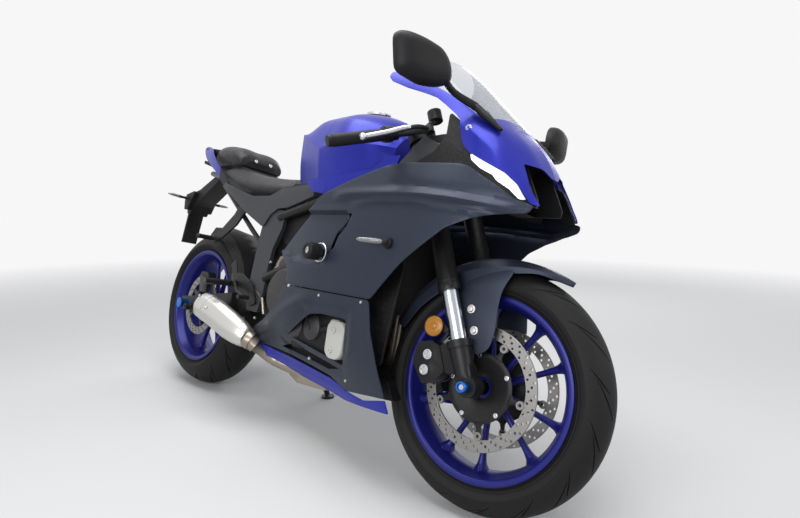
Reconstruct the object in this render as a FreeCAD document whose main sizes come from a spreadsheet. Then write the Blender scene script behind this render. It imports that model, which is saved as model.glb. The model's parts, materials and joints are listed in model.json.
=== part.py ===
import FreeCAD, Part
import math
import os
import Sketcher
from FreeCAD import Placement, Rotation, Vector

# Middleweight sport bike, parked on its side stand with the bars turned a little to the left.
# Chassis pieces are drawn upright: x runs forward from the rear axle, y to the rider's left,
# z up from the ground. The lean onto the stand comes last, in each piece's Placement.
os.makedirs("parts", exist_ok=True)
doc = FreeCAD.newDocument("sport_bike")

# Driving sizes in millimetres and degrees
SIZES = (
    ("wheelbase", 1395), ("rake_angle", 23.7), ("fork_offset", 38), ("lean_angle", 12.96),
    ("steer_angle", 6.14), ("steering_lock", 27),
    ("front_tyre_radius", 300), ("front_tyre_width", 120), ("front_crown_radius", 62),
    ("rear_tyre_radius", 315), ("rear_tyre_width", 180), ("rear_crown_radius", 95),
    ("rim_radius", 229), ("bead_radius", 219), ("rim_well_radius", 200), ("rim_wall", 5),
    ("front_rim_width", 100), ("rear_rim_width", 152), ("spoke_count", 10), ("spoke_width", 17),
    ("spoke_depth", 26), ("hub_radius", 40), ("front_hub_width", 96), ("rear_hub_width", 124),
    ("front_axle_radius", 11), ("rear_axle_radius", 10), ("running_fit", 0.08), ("seat_gap", 0.3),
    ("front_disc_radius", 149), ("front_disc_inner", 118), ("front_disc_spread", 129),
    ("disc_thickness", 5), ("disc_bobbins", 5), ("disc_hole_radius", 3), ("disc_hole_groups", 15),
    ("rear_disc_radius", 122), ("rear_disc_inner", 92), ("rear_disc_place", 72),
    ("rear_sprocket_teeth", 42), ("front_sprocket_teeth", 16), ("chain_pitch", 15.875),
    ("chain_width", 18), ("chain_place", 105), ("sprocket_thickness", 7),
    ("fork_spread", 210), ("fork_forward", 30), ("fork_tube_radius", 27), ("fork_slider_radius", 20.5),
    ("fork_slider_bottom", 119), ("fork_seal_height", 238), ("fork_top_height", 702),
    ("lower_clamp_height", 505), ("lower_clamp_depth", 35), ("top_clamp_height", 628),
    ("top_clamp_depth", 22), ("stem_radius", 15), ("stem_bore_radius", 8.5), ("stem_bore_depth", 60),
         ("head_tube_radius", 31),
    ("clip_on_height", 660), ("clip_on_depth", 32), ("bar_radius", 11), ("grip_radius", 16.5),
    ("panel_thickness", 4), ("screen_thickness", 3), ("fender_thickness", 3.5), ("fender_gap", 14),
    ("frame_tube_radius", 16), ("subframe_tube_radius", 11), ("brace_inner", 118),
    ("brace_thickness", 14), ("swingarm_inner", 118), ("swingarm_wall", 22),
    ("stand_pivot_height", 235), ("stand_pivot_place", 470), ("stand_pivot_out", 146),
    ("stand_leg_radius", 10), ("stand_foot_radius", 24), ("filler_radius", 42),
    ("plate_tongue_width", 70),
)
sheet = doc.addObject("Spreadsheet::Sheet", "Sizes")
for row, (word, amount) in enumerate(SIZES, start=1):
    sheet.set("A%d" % row, word)
    sheet.set("B%d" % row, str(amount))
    sheet.setAlias("B%d" % row, word)
doc.recompute()


def size(word):
    return float(sheet.get(word))


# The outlines below are drawn for this wheelbase and these tyres, and follow when those change
DRAWN_WHEELBASE, DRAWN_FRONT_RADIUS, DRAWN_REAR_RADIUS = 1395.0, 300.0, 315.0
STRETCH_START, STRETCH_END = 330.0, 1000.0
wheelbase = size("wheelbase")
rake = math.radians(size("rake_angle"))
front_axle = Vector(wheelbase, 0, size("front_tyre_radius"))
rear_axle = Vector(0, 0, size("rear_tyre_radius"))


def spot(x, y, z):
    """A chassis point: the middle stretches with the wheelbase, the ends stay by their axles."""
    share = min(1.0, max(0.0, (x - STRETCH_START) / (STRETCH_END - STRETCH_START)))
    rise_front = size("front_tyre_radius") - DRAWN_FRONT_RADIUS
    rise_rear = size("rear_tyre_radius") - DRAWN_REAR_RADIUS
    return Vector(x + share * (wheelbase - DRAWN_WHEELBASE), y,
                  z + rise_rear + share * (rise_front - rise_rear))


# How the bike stands: lean, a little pitch, and the height that puts both tyres on the ground
steering_direction = Vector(-math.sin(rake), 0, math.cos(rake))
steering_forward = Vector(math.cos(rake), 0, math.sin(rake))
steering_foot = front_axle - steering_forward * size("fork_offset")
fork_frame = Placement(steering_foot, Rotation(steering_forward, Vector(0, 1, 0), steering_direction,
                                               "ZXY"))
steered = Placement(Vector(), Rotation(Vector(0, 0, 1), size("steer_angle")))


def tyre_low(stance, centre, axle_direction, radius, crown):
    """Height of a leaning tyre's lowest point: a ring swept by a round crown."""
    middle = stance.multVec(centre)
    tilt = stance.Rotation.multVec(axle_direction).z
    return middle.z - (radius - crown) * math.sqrt(1 - tilt * tilt) - crown


def find_stance():
    """Lean first, then a few rounds that level the two tyres by pitch and height."""
    turn = fork_frame.multiply(steered)
    front_centre = turn.multVec(Vector(size("fork_offset"), 0, 0))
    front_direction = turn.Rotation.multVec(Vector(0, 1, 0))
    pitch, height = 0.0, 0.0
    for _ in range(12):
        lean = Rotation(Vector(1, 0, 0), -size("lean_angle"))
        stance = Placement(Vector(0, 0, height), lean.multiply(Rotation(Vector(0, 1, 0), pitch)))
        front = tyre_low(stance, front_centre, front_direction,
                         size("front_tyre_radius"), size("front_crown_radius"))
        rear = tyre_low(stance, rear_axle, Vector(0, 1, 0),
                        size("rear_tyre_radius"), size("rear_crown_radius"))
        height -= rear
        pitch += math.degrees((front - rear) / wheelbase)
    return stance


stance = find_stance()
steering_stance = stance.multiply(fork_frame).multiply(steered)
front_wheel_stance = steering_stance.multiply(Placement(Vector(size("fork_offset"), 0, 0), Rotation()))
rear_wheel_stance = stance.multiply(Placement(rear_axle, Rotation()))
STANCES = {"chassis": stance, "steering": steering_stance, "front_wheel": front_wheel_stance,
           "rear_wheel": rear_wheel_stance, "stand": stance, "lid": stance}
pieces = []


def keep(piece, label, body):
    """Name a finished sub-part, and place it with the rigid body it belongs to."""
    piece.Label = label
    piece.Placement = STANCES[body].multiply(piece.Placement)
    pieces.append(piece)
    return piece


def keep_shape(label, shape, body):
    piece = doc.addObject("Part::Feature", label)
    piece.Shape = shape
    return keep(piece, label, body)


# Drawing helpers
def rounded_wire(points, radii, closed):
    """Straight runs joined by tangent arcs, one radius for each point."""
    count = len(points)
    starts, edges = [], []
    for place, here in enumerate(points):
        inner = closed or 0 < place < count - 1
        radius = radii[place] if inner else 0
        if radius == 0:
            starts.append((here, None, here))
            continue
        towards = points[place - 1] - here
        away = points[(place + 1) % count] - here
        half = towards.getAngle(away) / 2
        if half > math.radians(89.5):
            starts.append((here, None, here))
            continue
        reach = min(radius / math.tan(half), 0.45 * min(towards.Length, away.Length))
        real = reach * math.tan(half)
        towards.normalize()
        away.normalize()
        bisector = (towards + away).normalize()
        middle = here + bisector * (real / math.sin(half) - real)
        starts.append((here + towards * reach, middle, here + away * reach))
    for place, (start, middle, end) in enumerate(starts):
        if middle is not None:
            edges.append(Part.Arc(start, middle, end).toShape())
        if closed or place < count - 1:
            following = starts[(place + 1) % count][0]
            if end.distanceToPoint(following) > 1e-6:
                edges.append(Part.makeLine(end, following))
    return Part.Wire(edges)


def side_plate(outline, low, high, radius=0):
    """A plate with a side-view outline of (x, z) points, from y = low to y = high."""
    points = [spot(x, low, z) for x, z in outline]
    face = Part.Face(rounded_wire(points, [radius] * len(points), True))
    return face.extrude(Vector(0, high - low, 0))


def flat_plate(points, direction, radius=0):
    """A plate whose outline lies in any plane, pushed along a direction."""
    face = Part.Face(rounded_wire(points, [radius] * len(points), True))
    return face.extrude(direction)


def rod(start, end, radius):
    return Part.makeCylinder(radius, (end - start).Length, start, end - start)


def pipe(points, radius, bend):
    """A round bar bent along a path of points."""
    path = rounded_wire(points, [bend] * len(points), False)
    circle = Part.makeCircle(radius, points[0], points[1] - points[0])
    return path.makePipeShell([Part.Wire(circle)], True, False)


def other_side(shape):
    return shape.mirror(Vector(), Vector(0, 1, 0))


def both_sides(shape):
    return Part.makeCompound([shape, other_side(shape)])


def joined(shapes):
    first = shapes[0].multiFuse(shapes[1:])
    return first.removeSplitter()


def largest(shape):
    return max(shape.Solids, key=lambda solid: solid.Volume)


def offset_line(line, distance):
    """A line of (y, z) points moved inwards, square to its own direction."""
    moved = []
    for place, (y, z) in enumerate(line):
        before = line[max(place - 1, 0)]
        after = line[min(place + 1, len(line) - 1)]
        along_y, along_z = after[0] - before[0], after[1] - before[1]
        length = math.hypot(along_y, along_z)
        moved.append((y + distance * along_z / length, z - distance * along_y / length))
    return moved


def skin(stations, thickness):
    """A thin curved panel on the left side, lofted through stations of (x, line from top to bottom)."""
    wires = []
    for x, line in stations:
        inner = offset_line(line, thickness)
        corners = [spot(x, y, z) for y, z in line] + [spot(x, y, z) for y, z in reversed(inner)]
        wires.append(Part.makePolygon(corners + corners[:1]))
    return Part.makeLoft(wires, True, False)


def window(outline, low=-500, high=500, radius=0):
    return side_plate(outline, low, high, radius)


# Sketch helpers for pieces made as a body with features
def start_body(label):
    body = doc.addObject("PartDesign::Body", label)
    body.Label = label
    return body


def start_sketch(body, role, label):
    sketch = body.newObject("Sketcher::SketchObject", label)
    plane = [feature for feature in body.Origin.OriginFeatures if feature.Role == role][0]
    sketch.AttachmentSupport = (plane, [""])
    sketch.MapMode = "FlatFace"
    return sketch


def bind(sketch, constraint, expression):
    place = sketch.addConstraint(constraint)
    sketch.setExpression("Constraints[%d]" % place, expression)


def corner_outline(sketch, corners):
    """A closed outline whose corners are tied to the sheet: one (across, up) pair of texts each."""
    first = sketch.GeometryCount
    count = len(corners)
    rough = [Vector(100 + 20 * math.cos(2 * math.pi * k / count),
                    100 + 20 * math.sin(2 * math.pi * k / count), 0)
             for k in range(count)]
    for k in range(count):
        sketch.addGeometry(Part.LineSegment(rough[k], rough[(k + 1) % count]))
    for k in range(count):
        sketch.addConstraint(Sketcher.Constraint("Coincident", first + k, 2, first + (k + 1) % count, 1))
    for k, (across, up) in enumerate(corners):
        bind(sketch, Sketcher.Constraint("DistanceX", first + k, 1, rough[k].x), across)
        bind(sketch, Sketcher.Constraint("DistanceY", first + k, 1, rough[k].y), up)


def centre_circle(sketch, radius):
    place = sketch.GeometryCount
    sketch.addGeometry(Part.Circle(Vector(), Vector(0, 0, 1), 10))
    sketch.addConstraint(Sketcher.Constraint("Coincident", place, 3, -1, 1))
    bind(sketch, Sketcher.Constraint("Radius", place, 10), radius)


def pad(body, sketch, length, label):
    feature = body.newObject("PartDesign::Pad", label)
    feature.Profile = sketch
    feature.Midplane = True
    feature.setExpression("Length", length)
    return feature


def revolve(body, sketch, label):
    feature = body.newObject("PartDesign::Revolution", label)
    feature.Profile = sketch
    feature.ReferenceAxis = (sketch, ["V_Axis"])
    feature.Angle = 360
    return feature


def around(body, feature, sketch, axis, count, label):
    pattern = body.newObject("PartDesign::PolarPattern", label)
    pattern.Originals = [feature]
    pattern.Axis = (sketch, [axis])
    pattern.Angle = 360
    pattern.setExpression("Occurrences", count)
    body.Tip = pattern
    return pattern


# Wheels, drawn about their own axle
def build_tyre(label, body_name, end):
    """Solid ring with a round crown: end is front or rear."""
    body = start_body(label)
    sketch = start_sketch(body, "XY_Plane", label + "_section")
    radius, crown = size(end + "_tyre_radius"), size(end + "_crown_radius")
    half_width = size(end + "_tyre_width") / 2
    bead_half = size(end + "_rim_width") / 2 - size("rim_wall") - size("seat_gap")
    ring = radius - crown
    shoulder = ring + math.sqrt(crown ** 2 - half_width ** 2)
    bead = size("bead_radius") + size("seat_gap")
    lip = size("rim_radius") + 1
    line = [Vector(shoulder, half_width, 0), Vector(lip, bead_half, 0), Vector(bead, bead_half, 0),
            Vector(bead, -bead_half, 0), Vector(lip, -bead_half, 0), Vector(shoulder, -half_width, 0)]
    for start, end_point in zip(line, line[1:]):
        sketch.addGeometry(Part.LineSegment(start, end_point))
    sketch.addGeometry(Part.Arc(line[-1], Vector(radius, 0, 0), line[0]))
    for k in range(4):
        sketch.addConstraint(Sketcher.Constraint("Coincident", k, 2, k + 1, 1))
    sketch.addConstraint(Sketcher.Constraint("Coincident", 4, 2, 5, 1))
    sketch.addConstraint(Sketcher.Constraint("Coincident", 0, 1, 5, 2))
    bind(sketch, Sketcher.Constraint("Radius", 5, crown), "Sizes.%s_crown_radius" % end)
    bind(sketch, Sketcher.Constraint("DistanceX", 5, 3, ring),
         "Sizes.%s_tyre_radius - Sizes.%s_crown_radius" % (end, end))
    bind(sketch, Sketcher.Constraint("DistanceY", 0, 1, half_width), "Sizes.%s_tyre_width / 2" % end)
    revolve(body, sketch, label + "_ring")
    keep(body, label, body_name)


def build_rim(label, body_name, end):
    """Cast wheel: rim with a well, drilled hub and evenly spaced spokes."""
    body = start_body(label)
    half = "Sizes.%s_rim_width / 2" % end
    wall = "Sizes.rim_wall"
    section = start_sketch(body, "XY_Plane", label + "_section")
    corner_outline(section, (
        ("Sizes.rim_radius", "-(%s)" % half), ("Sizes.rim_radius", "-(%s) + %s" % (half, wall)),
        ("Sizes.bead_radius", "-(%s) + %s" % (half, wall)), ("Sizes.bead_radius", "-(%s) + 22" % half),
        ("Sizes.rim_well_radius", "-(%s) + 32" % half), ("Sizes.rim_well_radius", "(%s) - 32" % half),
        ("Sizes.bead_radius", "(%s) - 22" % half), ("Sizes.bead_radius", "(%s) - %s" % (half, wall)),
        ("Sizes.rim_radius", "(%s) - %s" % (half, wall)), ("Sizes.rim_radius", half),
        ("Sizes.bead_radius - 7", half), ("Sizes.rim_well_radius - 7", "(%s) - 28" % half),
        ("Sizes.rim_well_radius - 7", "-(%s) + 28" % half), ("Sizes.bead_radius - 7", "-(%s)" % half)))
    revolve(body, section, label + "_band")
    hub = start_sketch(body, "XZ_Plane", label + "_hub_outline")
    centre_circle(hub, "Sizes.hub_radius")
    pad(body, hub, "Sizes.%s_hub_width" % end, label + "_hub")
    spoke = start_sketch(body, "XZ_Plane", label + "_spoke_outline")
    width = "Sizes.spoke_width"
    reach = "Sizes.rim_well_radius - 4"
    corner_outline(spoke, (
        ("Sizes.hub_radius - 6", "-%s * 0.6" % width), (reach + " - 40", "-%s * 0.4" % width),
        (reach, "-%s" % width), (reach, width), (reach + " - 40", "%s * 0.4" % width),
        ("Sizes.hub_radius - 6", "%s * 0.6" % width)))
    arm = pad(body, spoke, "Sizes.spoke_depth", label + "_spoke")
    around(body, arm, hub, "N_Axis", "Sizes.spoke_count", label + "_spokes")
    bore = start_sketch(body, "XZ_Plane", label + "_bore_outline")
    centre_circle(bore, "Sizes.%s_axle_radius + Sizes.running_fit" % end)
    drilled = body.newObject("PartDesign::Pocket", label + "_bore")
    drilled.Profile = bore
    drilled.Type = "ThroughAll"
    drilled.Midplane = True
    body.Tip = drilled
    keep(body, label, body_name)


def ring_disc(outer, inner, thickness, place):
    ring = Part.makeCylinder(outer, thickness, Vector(0, place, 0), Vector(0, 1, 0))
    return ring.cut(Part.makeCylinder(inner, thickness, Vector(0, place, 0), Vector(0, 1, 0)))


def drilled_disc(outer, inner, thickness, place):
    """Brake disc: a ring with slanted groups of three drilled holes."""
    ring = ring_disc(outer, inner, thickness, place)
    groups = int(size("disc_hole_groups"))
    holes = []
    for group in range(groups):
        for step in range(3):
            radius = inner + (outer - inner) * (0.22 + 0.28 * step)
            turn = 2 * math.pi * (group + 0.28 * step) / groups
            start = Vector(radius * math.cos(turn), place - 1, radius * math.sin(turn))
            holes.append(Part.makeCylinder(size("disc_hole_radius"), thickness + 2, start, Vector(0, 1, 0)))
    return ring.cut(Part.makeCompound(holes))


def disc_carrier(ring_inner, hub_face, place, thickness):
    """Star that carries a floating disc: a boss on the hub, arms and bobbins."""
    bobbins = int(size("disc_bobbins"))
    boss = Part.makeCylinder(62, abs(place - hub_face), Vector(0, min(place, hub_face), 0), Vector(0, 1, 0))
    star = [boss, Part.makeCylinder(70, thickness, Vector(0, place, 0), Vector(0, 1, 0))]
    for k in range(bobbins):
        turn = Rotation(Vector(0, 1, 0), 360.0 * k / bobbins)
        for lean in (-13, 13):
            arm = Part.makeBox(ring_inner - 52, thickness, 9, Vector(58, place, -4.5))
            arm.rotate(Vector(), Vector(0, 1, 0), lean * 0.5)
            arm.Placement = Placement(Vector(), turn).multiply(arm.Placement)
            star.append(arm)
        centre = turn.multVec(Vector(ring_inner - 3, place - 1.5, 0))
        star.append(Part.makeCylinder(9, thickness + 3, centre, Vector(0, 1, 0)))
    bore = Part.makeCylinder(30, 200, Vector(0, -100, 0), Vector(0, 1, 0))
    return joined(star).cut(bore)


def build_front_discs():
    """Two floating discs with their carriers, seated on the ends of the hub."""
    place = size("front_disc_spread") / 2 - size("disc_thickness") / 2
    disc = drilled_disc(size("front_disc_radius"), size("front_disc_inner"), size("disc_thickness"), place)
    star = disc_carrier(size("front_disc_inner"), size("front_hub_width") / 2, place,
                        size("disc_thickness"))
    keep_shape("front_discs", both_sides(joined([disc, star])), "front_wheel")


def build_rear_disc():
    place = -size("rear_disc_place") - size("disc_thickness")
    disc = drilled_disc(size("rear_disc_radius"), size("rear_disc_inner"), size("disc_thickness"), place)
    star = disc_carrier(size("rear_disc_inner"), -size("rear_hub_width") / 2, place, size("disc_thickness"))
    keep_shape("rear_disc", joined([disc, star]), "rear_wheel")


def sprocket_radius(teeth):
    return size("chain_pitch") / (2 * math.sin(math.pi / teeth))


def toothed_wheel(teeth, thickness, place, inner_clearance):
    """Sprocket outline: teeth that stay just inside the chain's rollers."""
    tip = sprocket_radius(teeth) - inner_clearance
    root = tip - 6
    points = []
    for tooth in range(teeth):
        for part_turn, radius in ((0.0, root), (0.3, root), (0.5, tip), (0.7, tip)):
            turn = 2 * math.pi * (tooth + part_turn) / teeth
            points.append(Vector(radius * math.cos(turn), place, radius * math.sin(turn)))
    return Part.Face(Part.makePolygon(points + points[:1])).extrude(Vector(0, thickness, 0))


def build_rear_sprocket():
    """Toothed ring on its carrier, on the left of the rear hub."""
    teeth = int(size("rear_sprocket_teeth"))
    thickness = size("sprocket_thickness")
    place = size("chain_place") - thickness / 2
    wheel = toothed_wheel(teeth, thickness, place, CHAIN_HALF_HEIGHT + 2)
    hub_face = size("rear_hub_width") / 2
    carrier = Part.makeCone(62, 72, place - hub_face, Vector(0, hub_face, 0), Vector(0, 1, 0))
    windows = [Part.makeCylinder(11, 60, Vector(83 * math.cos(k * math.pi / 3), place - 5,
                                                83 * math.sin(k * math.pi / 3)), Vector(0, 1, 0))
               for k in range(6)]
    bore = Part.makeCylinder(26, 200, Vector(0, -20, 0), Vector(0, 1, 0))
    shape = joined([wheel, carrier]).cut(Part.makeCompound(windows + [bore]))
    keep_shape("rear_sprocket", shape, "rear_wheel")


# Chain loop round both sprockets, with its links in outline
CHAIN_HALF_HEIGHT = 7.5
CHAIN_WAIST = 5.0
front_sprocket = spot(560, 0, 395)


def chain_line(offset_by_place):
    """Points of a line beside the pitch line, two for each link, on the inside or the outside."""
    big = sprocket_radius(int(size("rear_sprocket_teeth")))
    small = sprocket_radius(int(size("front_sprocket_teeth")))
    gap = front_sprocket - rear_axle
    distance = gap.Length
    slope = math.atan2(gap.z, gap.x)
    wrap = math.asin((big - small) / distance)
    run = distance * math.cos(wrap)
    top, bottom = slope + math.pi / 2 - wrap, slope - math.pi / 2 + wrap
    front_arc, rear_arc = (math.pi - 2 * wrap) * small, (math.pi + 2 * wrap) * big
    total = 2 * run + front_arc + rear_arc
    links = 2 * round(total / size("chain_pitch") / 2)
    points = []
    for step in range(2 * links):
        along = total * step / (2 * links)
        extra = offset_by_place(step)
        if along < run:
            turn = top
            base = rear_axle + polar(turn, big) + polar(turn - math.pi / 2, along)
        elif along < run + front_arc:
            turn = top - (along - run) / small
            base = front_sprocket + polar(turn, small)
        elif along < 2 * run + front_arc:
            turn = bottom
            base = front_sprocket + polar(turn, small) + polar(turn - math.pi / 2, along - run - front_arc)
        else:
            turn = bottom - (along - 2 * run - front_arc) / big
            base = rear_axle + polar(turn, big)
        points.append(base + polar(turn, extra))
    return points


def polar(turn, length):
    return Vector(length * math.cos(turn), 0, length * math.sin(turn))


def chain_underside(x):
    """Height of the upper run's inner side at x, less a hair, for the slider below it."""
    big = sprocket_radius(int(size("rear_sprocket_teeth")))
    small = sprocket_radius(int(size("front_sprocket_teeth")))
    gap = front_sprocket - rear_axle
    top = math.atan2(gap.z, gap.x) + math.pi / 2 - math.asin((big - small) / gap.Length)
    start = rear_axle + polar(top, big - CHAIN_HALF_HEIGHT - size("seat_gap"))
    return start.z + (x - start.x) * math.tan(top - math.pi / 2)


def build_chain():
    """One closed loop: at each pin the plates are full height, between pins they are waisted."""
    low = size("chain_place") - size("chain_width") / 2

    def ring(sign):
        points = chain_line(lambda step: sign * (CHAIN_HALF_HEIGHT if step % 2 == 0 else CHAIN_WAIST))
        points = [Vector(point.x, low, point.z) for point in points]
        return Part.Face(Part.makePolygon(points + points[:1]))

    loop = ring(1).cut(ring(-1))
    keep_shape("chain", loop.extrude(Vector(0, size("chain_width"), 0)), "chassis")


# Steering, drawn about the steering axis: x forward, z up the axis from the axle's level
def head_spot(forward, out, height):
    """A chassis point given beside the steering axis."""
    return fork_frame.multVec(Vector(forward, out, height))


def fork_legs(radius, low, high):
    half = size("fork_spread") / 2
    return [Part.makeCylinder(radius, high - low, Vector(size("fork_forward"), side * half, low))
            for side in (-1, 1)]


def build_fork_tubes():
    """Upside-down fork: two black outer tubes with seal collars and top caps."""
    seal, top = size("fork_seal_height"), size("fork_top_height")
    tube = size("fork_tube_radius")
    legs = []
    for leg, collar, cap in zip(fork_legs(tube, seal, top), fork_legs(tube + 2, seal, seal + 14),
                                fork_legs(14, top, top + 8)):
        legs.append(joined([leg, collar, cap]))
    keep_shape("fork_tubes", Part.makeCompound(legs), "steering")


def build_fork_sliders():
    """Bright inner tubes between the seal and the cast feet."""
    half = size("fork_spread") / 2
    sliders = []
    for side, word in ((-1, "right"), (1, "left")):
        slider = doc.addObject("Part::Cylinder", "slider_" + word)
        slider.setExpression("Radius", "Sizes.fork_slider_radius")
        slider.setExpression("Height", "Sizes.fork_seal_height - Sizes.fork_slider_bottom")
        slider.Placement = Placement(Vector(size("fork_forward"), side * half, size("fork_slider_bottom")),
                                     Rotation())
        sliders.append(slider)
    pair = doc.addObject("Part::Compound", "fork_sliders")
    pair.Links = sliders
    keep(pair, "fork_sliders", "steering")


CALIPER_FACE = -22.0


def build_fork_feet():
    """Cast feet: a socket for the slider, an axle clamp and lugs for the caliper."""
    half, forward = size("fork_spread") / 2, size("fork_forward")
    top = size("fork_slider_bottom")
    axle = Part.makeCylinder(size("front_axle_radius"), 400, Vector(size("fork_offset"), -200, 0),
                             Vector(0, 1, 0))
    socket = Part.makeCone(24, 30, top - 20, Vector(forward, half, 20))
    collar = Part.makeCylinder(31, 24, Vector(forward, half, top - 24))
    clamp = Part.makeCylinder(25, 42, Vector(size("fork_offset"), half - 21, 0), Vector(0, 1, 0))
    web = Part.makeBox(40, 34, 50, Vector(forward - 16, half - 17, 0))
    lug = flat_plate([Vector(forward, half - 20, 118), Vector(CALIPER_FACE, half - 20, 118),
                      Vector(CALIPER_FACE, half - 20, 44), Vector(forward, half - 20, 30)], Vector(0, 26,
                                                                0), 4)
    foot = joined([socket, collar, clamp, web, lug]).cut(axle)
    keep_shape("fork_feet", both_sides(foot), "steering")


def clamp_plate(low, depth, ear):
    """A fork clamp: a waisted plate with a round ear at each leg and a boss at the stem."""
    half, forward = size("fork_spread") / 2, size("fork_forward")
    tube = size("fork_tube_radius")
    outline = [Vector(-24, -30, low), Vector(forward - ear + 6, -half, low), Vector(forward + 18,
                                                                -half - 6, low),
               Vector(forward + 14, -40, low), Vector(forward + 14, 40, low),
               Vector(forward + 18, half + 6, low), Vector(forward - ear + 6, half, low), Vector(-24, 30,
                                                                low)]
    solids = [flat_plate(outline, Vector(0, 0, depth), 10), Part.makeCylinder(30, depth, Vector(0, 0, low))]
    solids += fork_legs(ear, low, low + depth)
    return joined(solids).cut(Part.makeCompound(fork_legs(tube, low - 1, low + depth + 1)))


def build_triple_clamps():
    """Lower clamp with the steering stem, and the top clamp over it."""
    low, depth = size("lower_clamp_height"), size("lower_clamp_depth")
    top, top_depth = size("top_clamp_height"), size("top_clamp_depth")
    stem = Part.makeCylinder(size("stem_radius"), top + top_depth + 9 - low, Vector(0, 0, low))
    nut = Part.makeCylinder(19, 9, Vector(0, 0, top + top_depth))
    lift_bore = Part.makeCylinder(size("stem_bore_radius"), size("stem_bore_depth"), Vector(0, 0, low))
    shape = joined([clamp_plate(low, depth, 38), clamp_plate(top, top_depth, 36), stem, nut]).cut(lift_bore)
    keep_shape("triple_clamps", shape, "steering")


GRIP_INNER = Vector(-22, 222, 668)
GRIP_OUTER = Vector(-98, 338, 640)


def build_handlebars():
    """Clip-on bars: a ring on each fork tube, a swept tube, a grip and a bar-end weight."""
    half, forward = size("fork_spread") / 2, size("fork_forward")
    low, depth = size("clip_on_height"), size("clip_on_depth")
    along = (GRIP_OUTER - GRIP_INNER).normalize()
    ring = Part.makeCylinder(size("fork_tube_radius") + 11, depth, Vector(forward, half, low))
    bore = Part.makeCylinder(size("fork_tube_radius"), depth + 42, Vector(forward, half, low - 1))
    bar = rod(GRIP_INNER - along * 106, GRIP_INNER + along * 4, size("bar_radius"))
    tube = rod(GRIP_INNER, GRIP_OUTER, size("grip_radius"))
    weight = rod(GRIP_OUTER, GRIP_OUTER + along * 12, size("grip_radius") - 1.5)
    collar = rod(GRIP_INNER - along * 6, GRIP_INNER, size("grip_radius") + 3)
    handle = joined([ring.cut(bore), bar, tube, weight, collar]).cut(bore)
    keep_shape("handlebars", both_sides(handle), "steering")


LEVER_PIVOT = Vector(92, 168, 650)
LEVER_END = Vector(-26, 300, 632)


def build_hand_controls():
    """Lever perches, levers and switch boxes on both sides, with the brake reservoir on the right."""
    along = (GRIP_OUTER - GRIP_INNER).normalize()
    gear = []
    perch_foot = GRIP_INNER - along * 34
    perch = rod(perch_foot, LEVER_PIVOT, 9)
    ring = rod(GRIP_INNER - along * 44, GRIP_INNER - along * 24, 18)
    blade = pipe([LEVER_PIVOT, LEVER_PIVOT + Vector(-8, 40, -2), LEVER_END - along * 40, LEVER_END], 6, 60)
    ball = Part.makeSphere(9, LEVER_END)
    boss = Part.makeCylinder(11, 18, LEVER_PIVOT - Vector(0, 0, 9))
    switch = rod(GRIP_INNER - along * 26, GRIP_INNER - along * 6.2, 22)
    bar_hole = rod(GRIP_INNER - along * 70, GRIP_INNER, size("bar_radius"))
    left = joined([perch, ring, blade, ball, boss, switch]).cut(bar_hole)
    cup_stalk = rod(Vector(74, 172, 655), Vector(97, 140, 690), 6)
    cup = Part.makeCylinder(19, 30, Vector(98, 138, 684))
    right = other_side(joined([left, cup_stalk, cup]))
    clip = Part.makeCylinder(size("fork_tube_radius") + 11, 80,
                             Vector(size("fork_forward"), size("fork_spread") / 2,
                                    size("clip_on_height") - 20))
    keep_shape("hand_controls", Part.makeCompound([left.cut(clip), right.cut(other_side(clip))]),
               "steering")


def build_front_fender():
    """Fender that wraps the tyre's crown, pointed in front, with plates down to the fork feet."""
    inner = size("front_tyre_radius") + size("fender_gap")
    wall = size("fender_thickness")
    half = size("front_tyre_width") / 2 + 13
    axle = Vector(size("fork_offset"), 0, 0)
    start_turn, end_turn = 34.0, 133.0
    line = [(-half, inner - 48), (-half + 5, inner - 18), (-half + 24, inner), (0, inner + 8),
            (half - 24, inner), (half - 5, inner - 18), (half, inner - 48)]
    outer = offset_line([(y, z) for y, z in line], -wall)
    corners = [Vector(z, y, 0) for y, z in line] + [Vector(z, y, 0) for y, z in reversed(outer)]
    section = Part.Face(Part.makePolygon(corners + corners[:1]))
    section.rotate(Vector(), Vector(0, 1, 0), -start_turn)
    arch = section.revolve(Vector(), Vector(0, 1, 0), -(end_turn - start_turn))
    arch.translate(axle)
    # The nose narrows to a point, the tail narrows to half the width
    nose = [Vector(205, 120, 0), Vector(235, 76, 0), Vector(330, 9, 0), Vector(330, 120, 0)]
    cut_nose = flat_plate(nose, Vector(0, 0, 400))
    tail = [Vector(-60, 120, 0), Vector(-80, 80, 0), Vector(-185, 52, 0), Vector(-260, 50, 0), Vector(-260,
                                                                120, 0)]
    cut_tail = flat_plate(tail, Vector(0, 0, 400))
    arch = arch.cut(Part.makeCompound([cut_nose, other_side(cut_nose), cut_tail, other_side(cut_tail)]))
    plate = flat_plate([Vector(x, half - 0.5, z) for x, z in
                        ((2, 258), (137, 250), (196, 208), (129, 170), (100, 92), (58, 74), (22, 88), (2,
                                                                150))],
                       Vector(0, wall, 0), 10)
    tyre_room = Part.makeCylinder(inner - 2, 2 * half - 6, Vector(axle.x, -half + 3, 0), Vector(0, 1, 0))
    stay = Part.makeBox(16, size("fork_spread") / 2 - half - 2, 60,
                        Vector(size("fork_forward") - 8, half + wall - 0.5, 120))
    legs = Part.makeCompound(fork_legs(size("fork_slider_radius"), 60, 300) +
                             [Part.makeCylinder(31.1, 60, Vector(size("fork_forward"),
                                                                side * size("fork_spread") / 2, 60))
                              for side in (-1, 1)])
    clasp = Part.makeCylinder(26, 30, Vector(size("fork_forward"), size("fork_spread") / 2,
                                             size("fork_slider_bottom") + 1))
    side = joined([plate, stay, clasp]).cut(legs)
    shape = joined([arch, side,
                    other_side(side)]).cut(Part.makeCompound(fork_legs(size("fork_tube_radius") + 3, 230,
                                                                400)))
    keep_shape("front_fender", shape, "steering")


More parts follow.
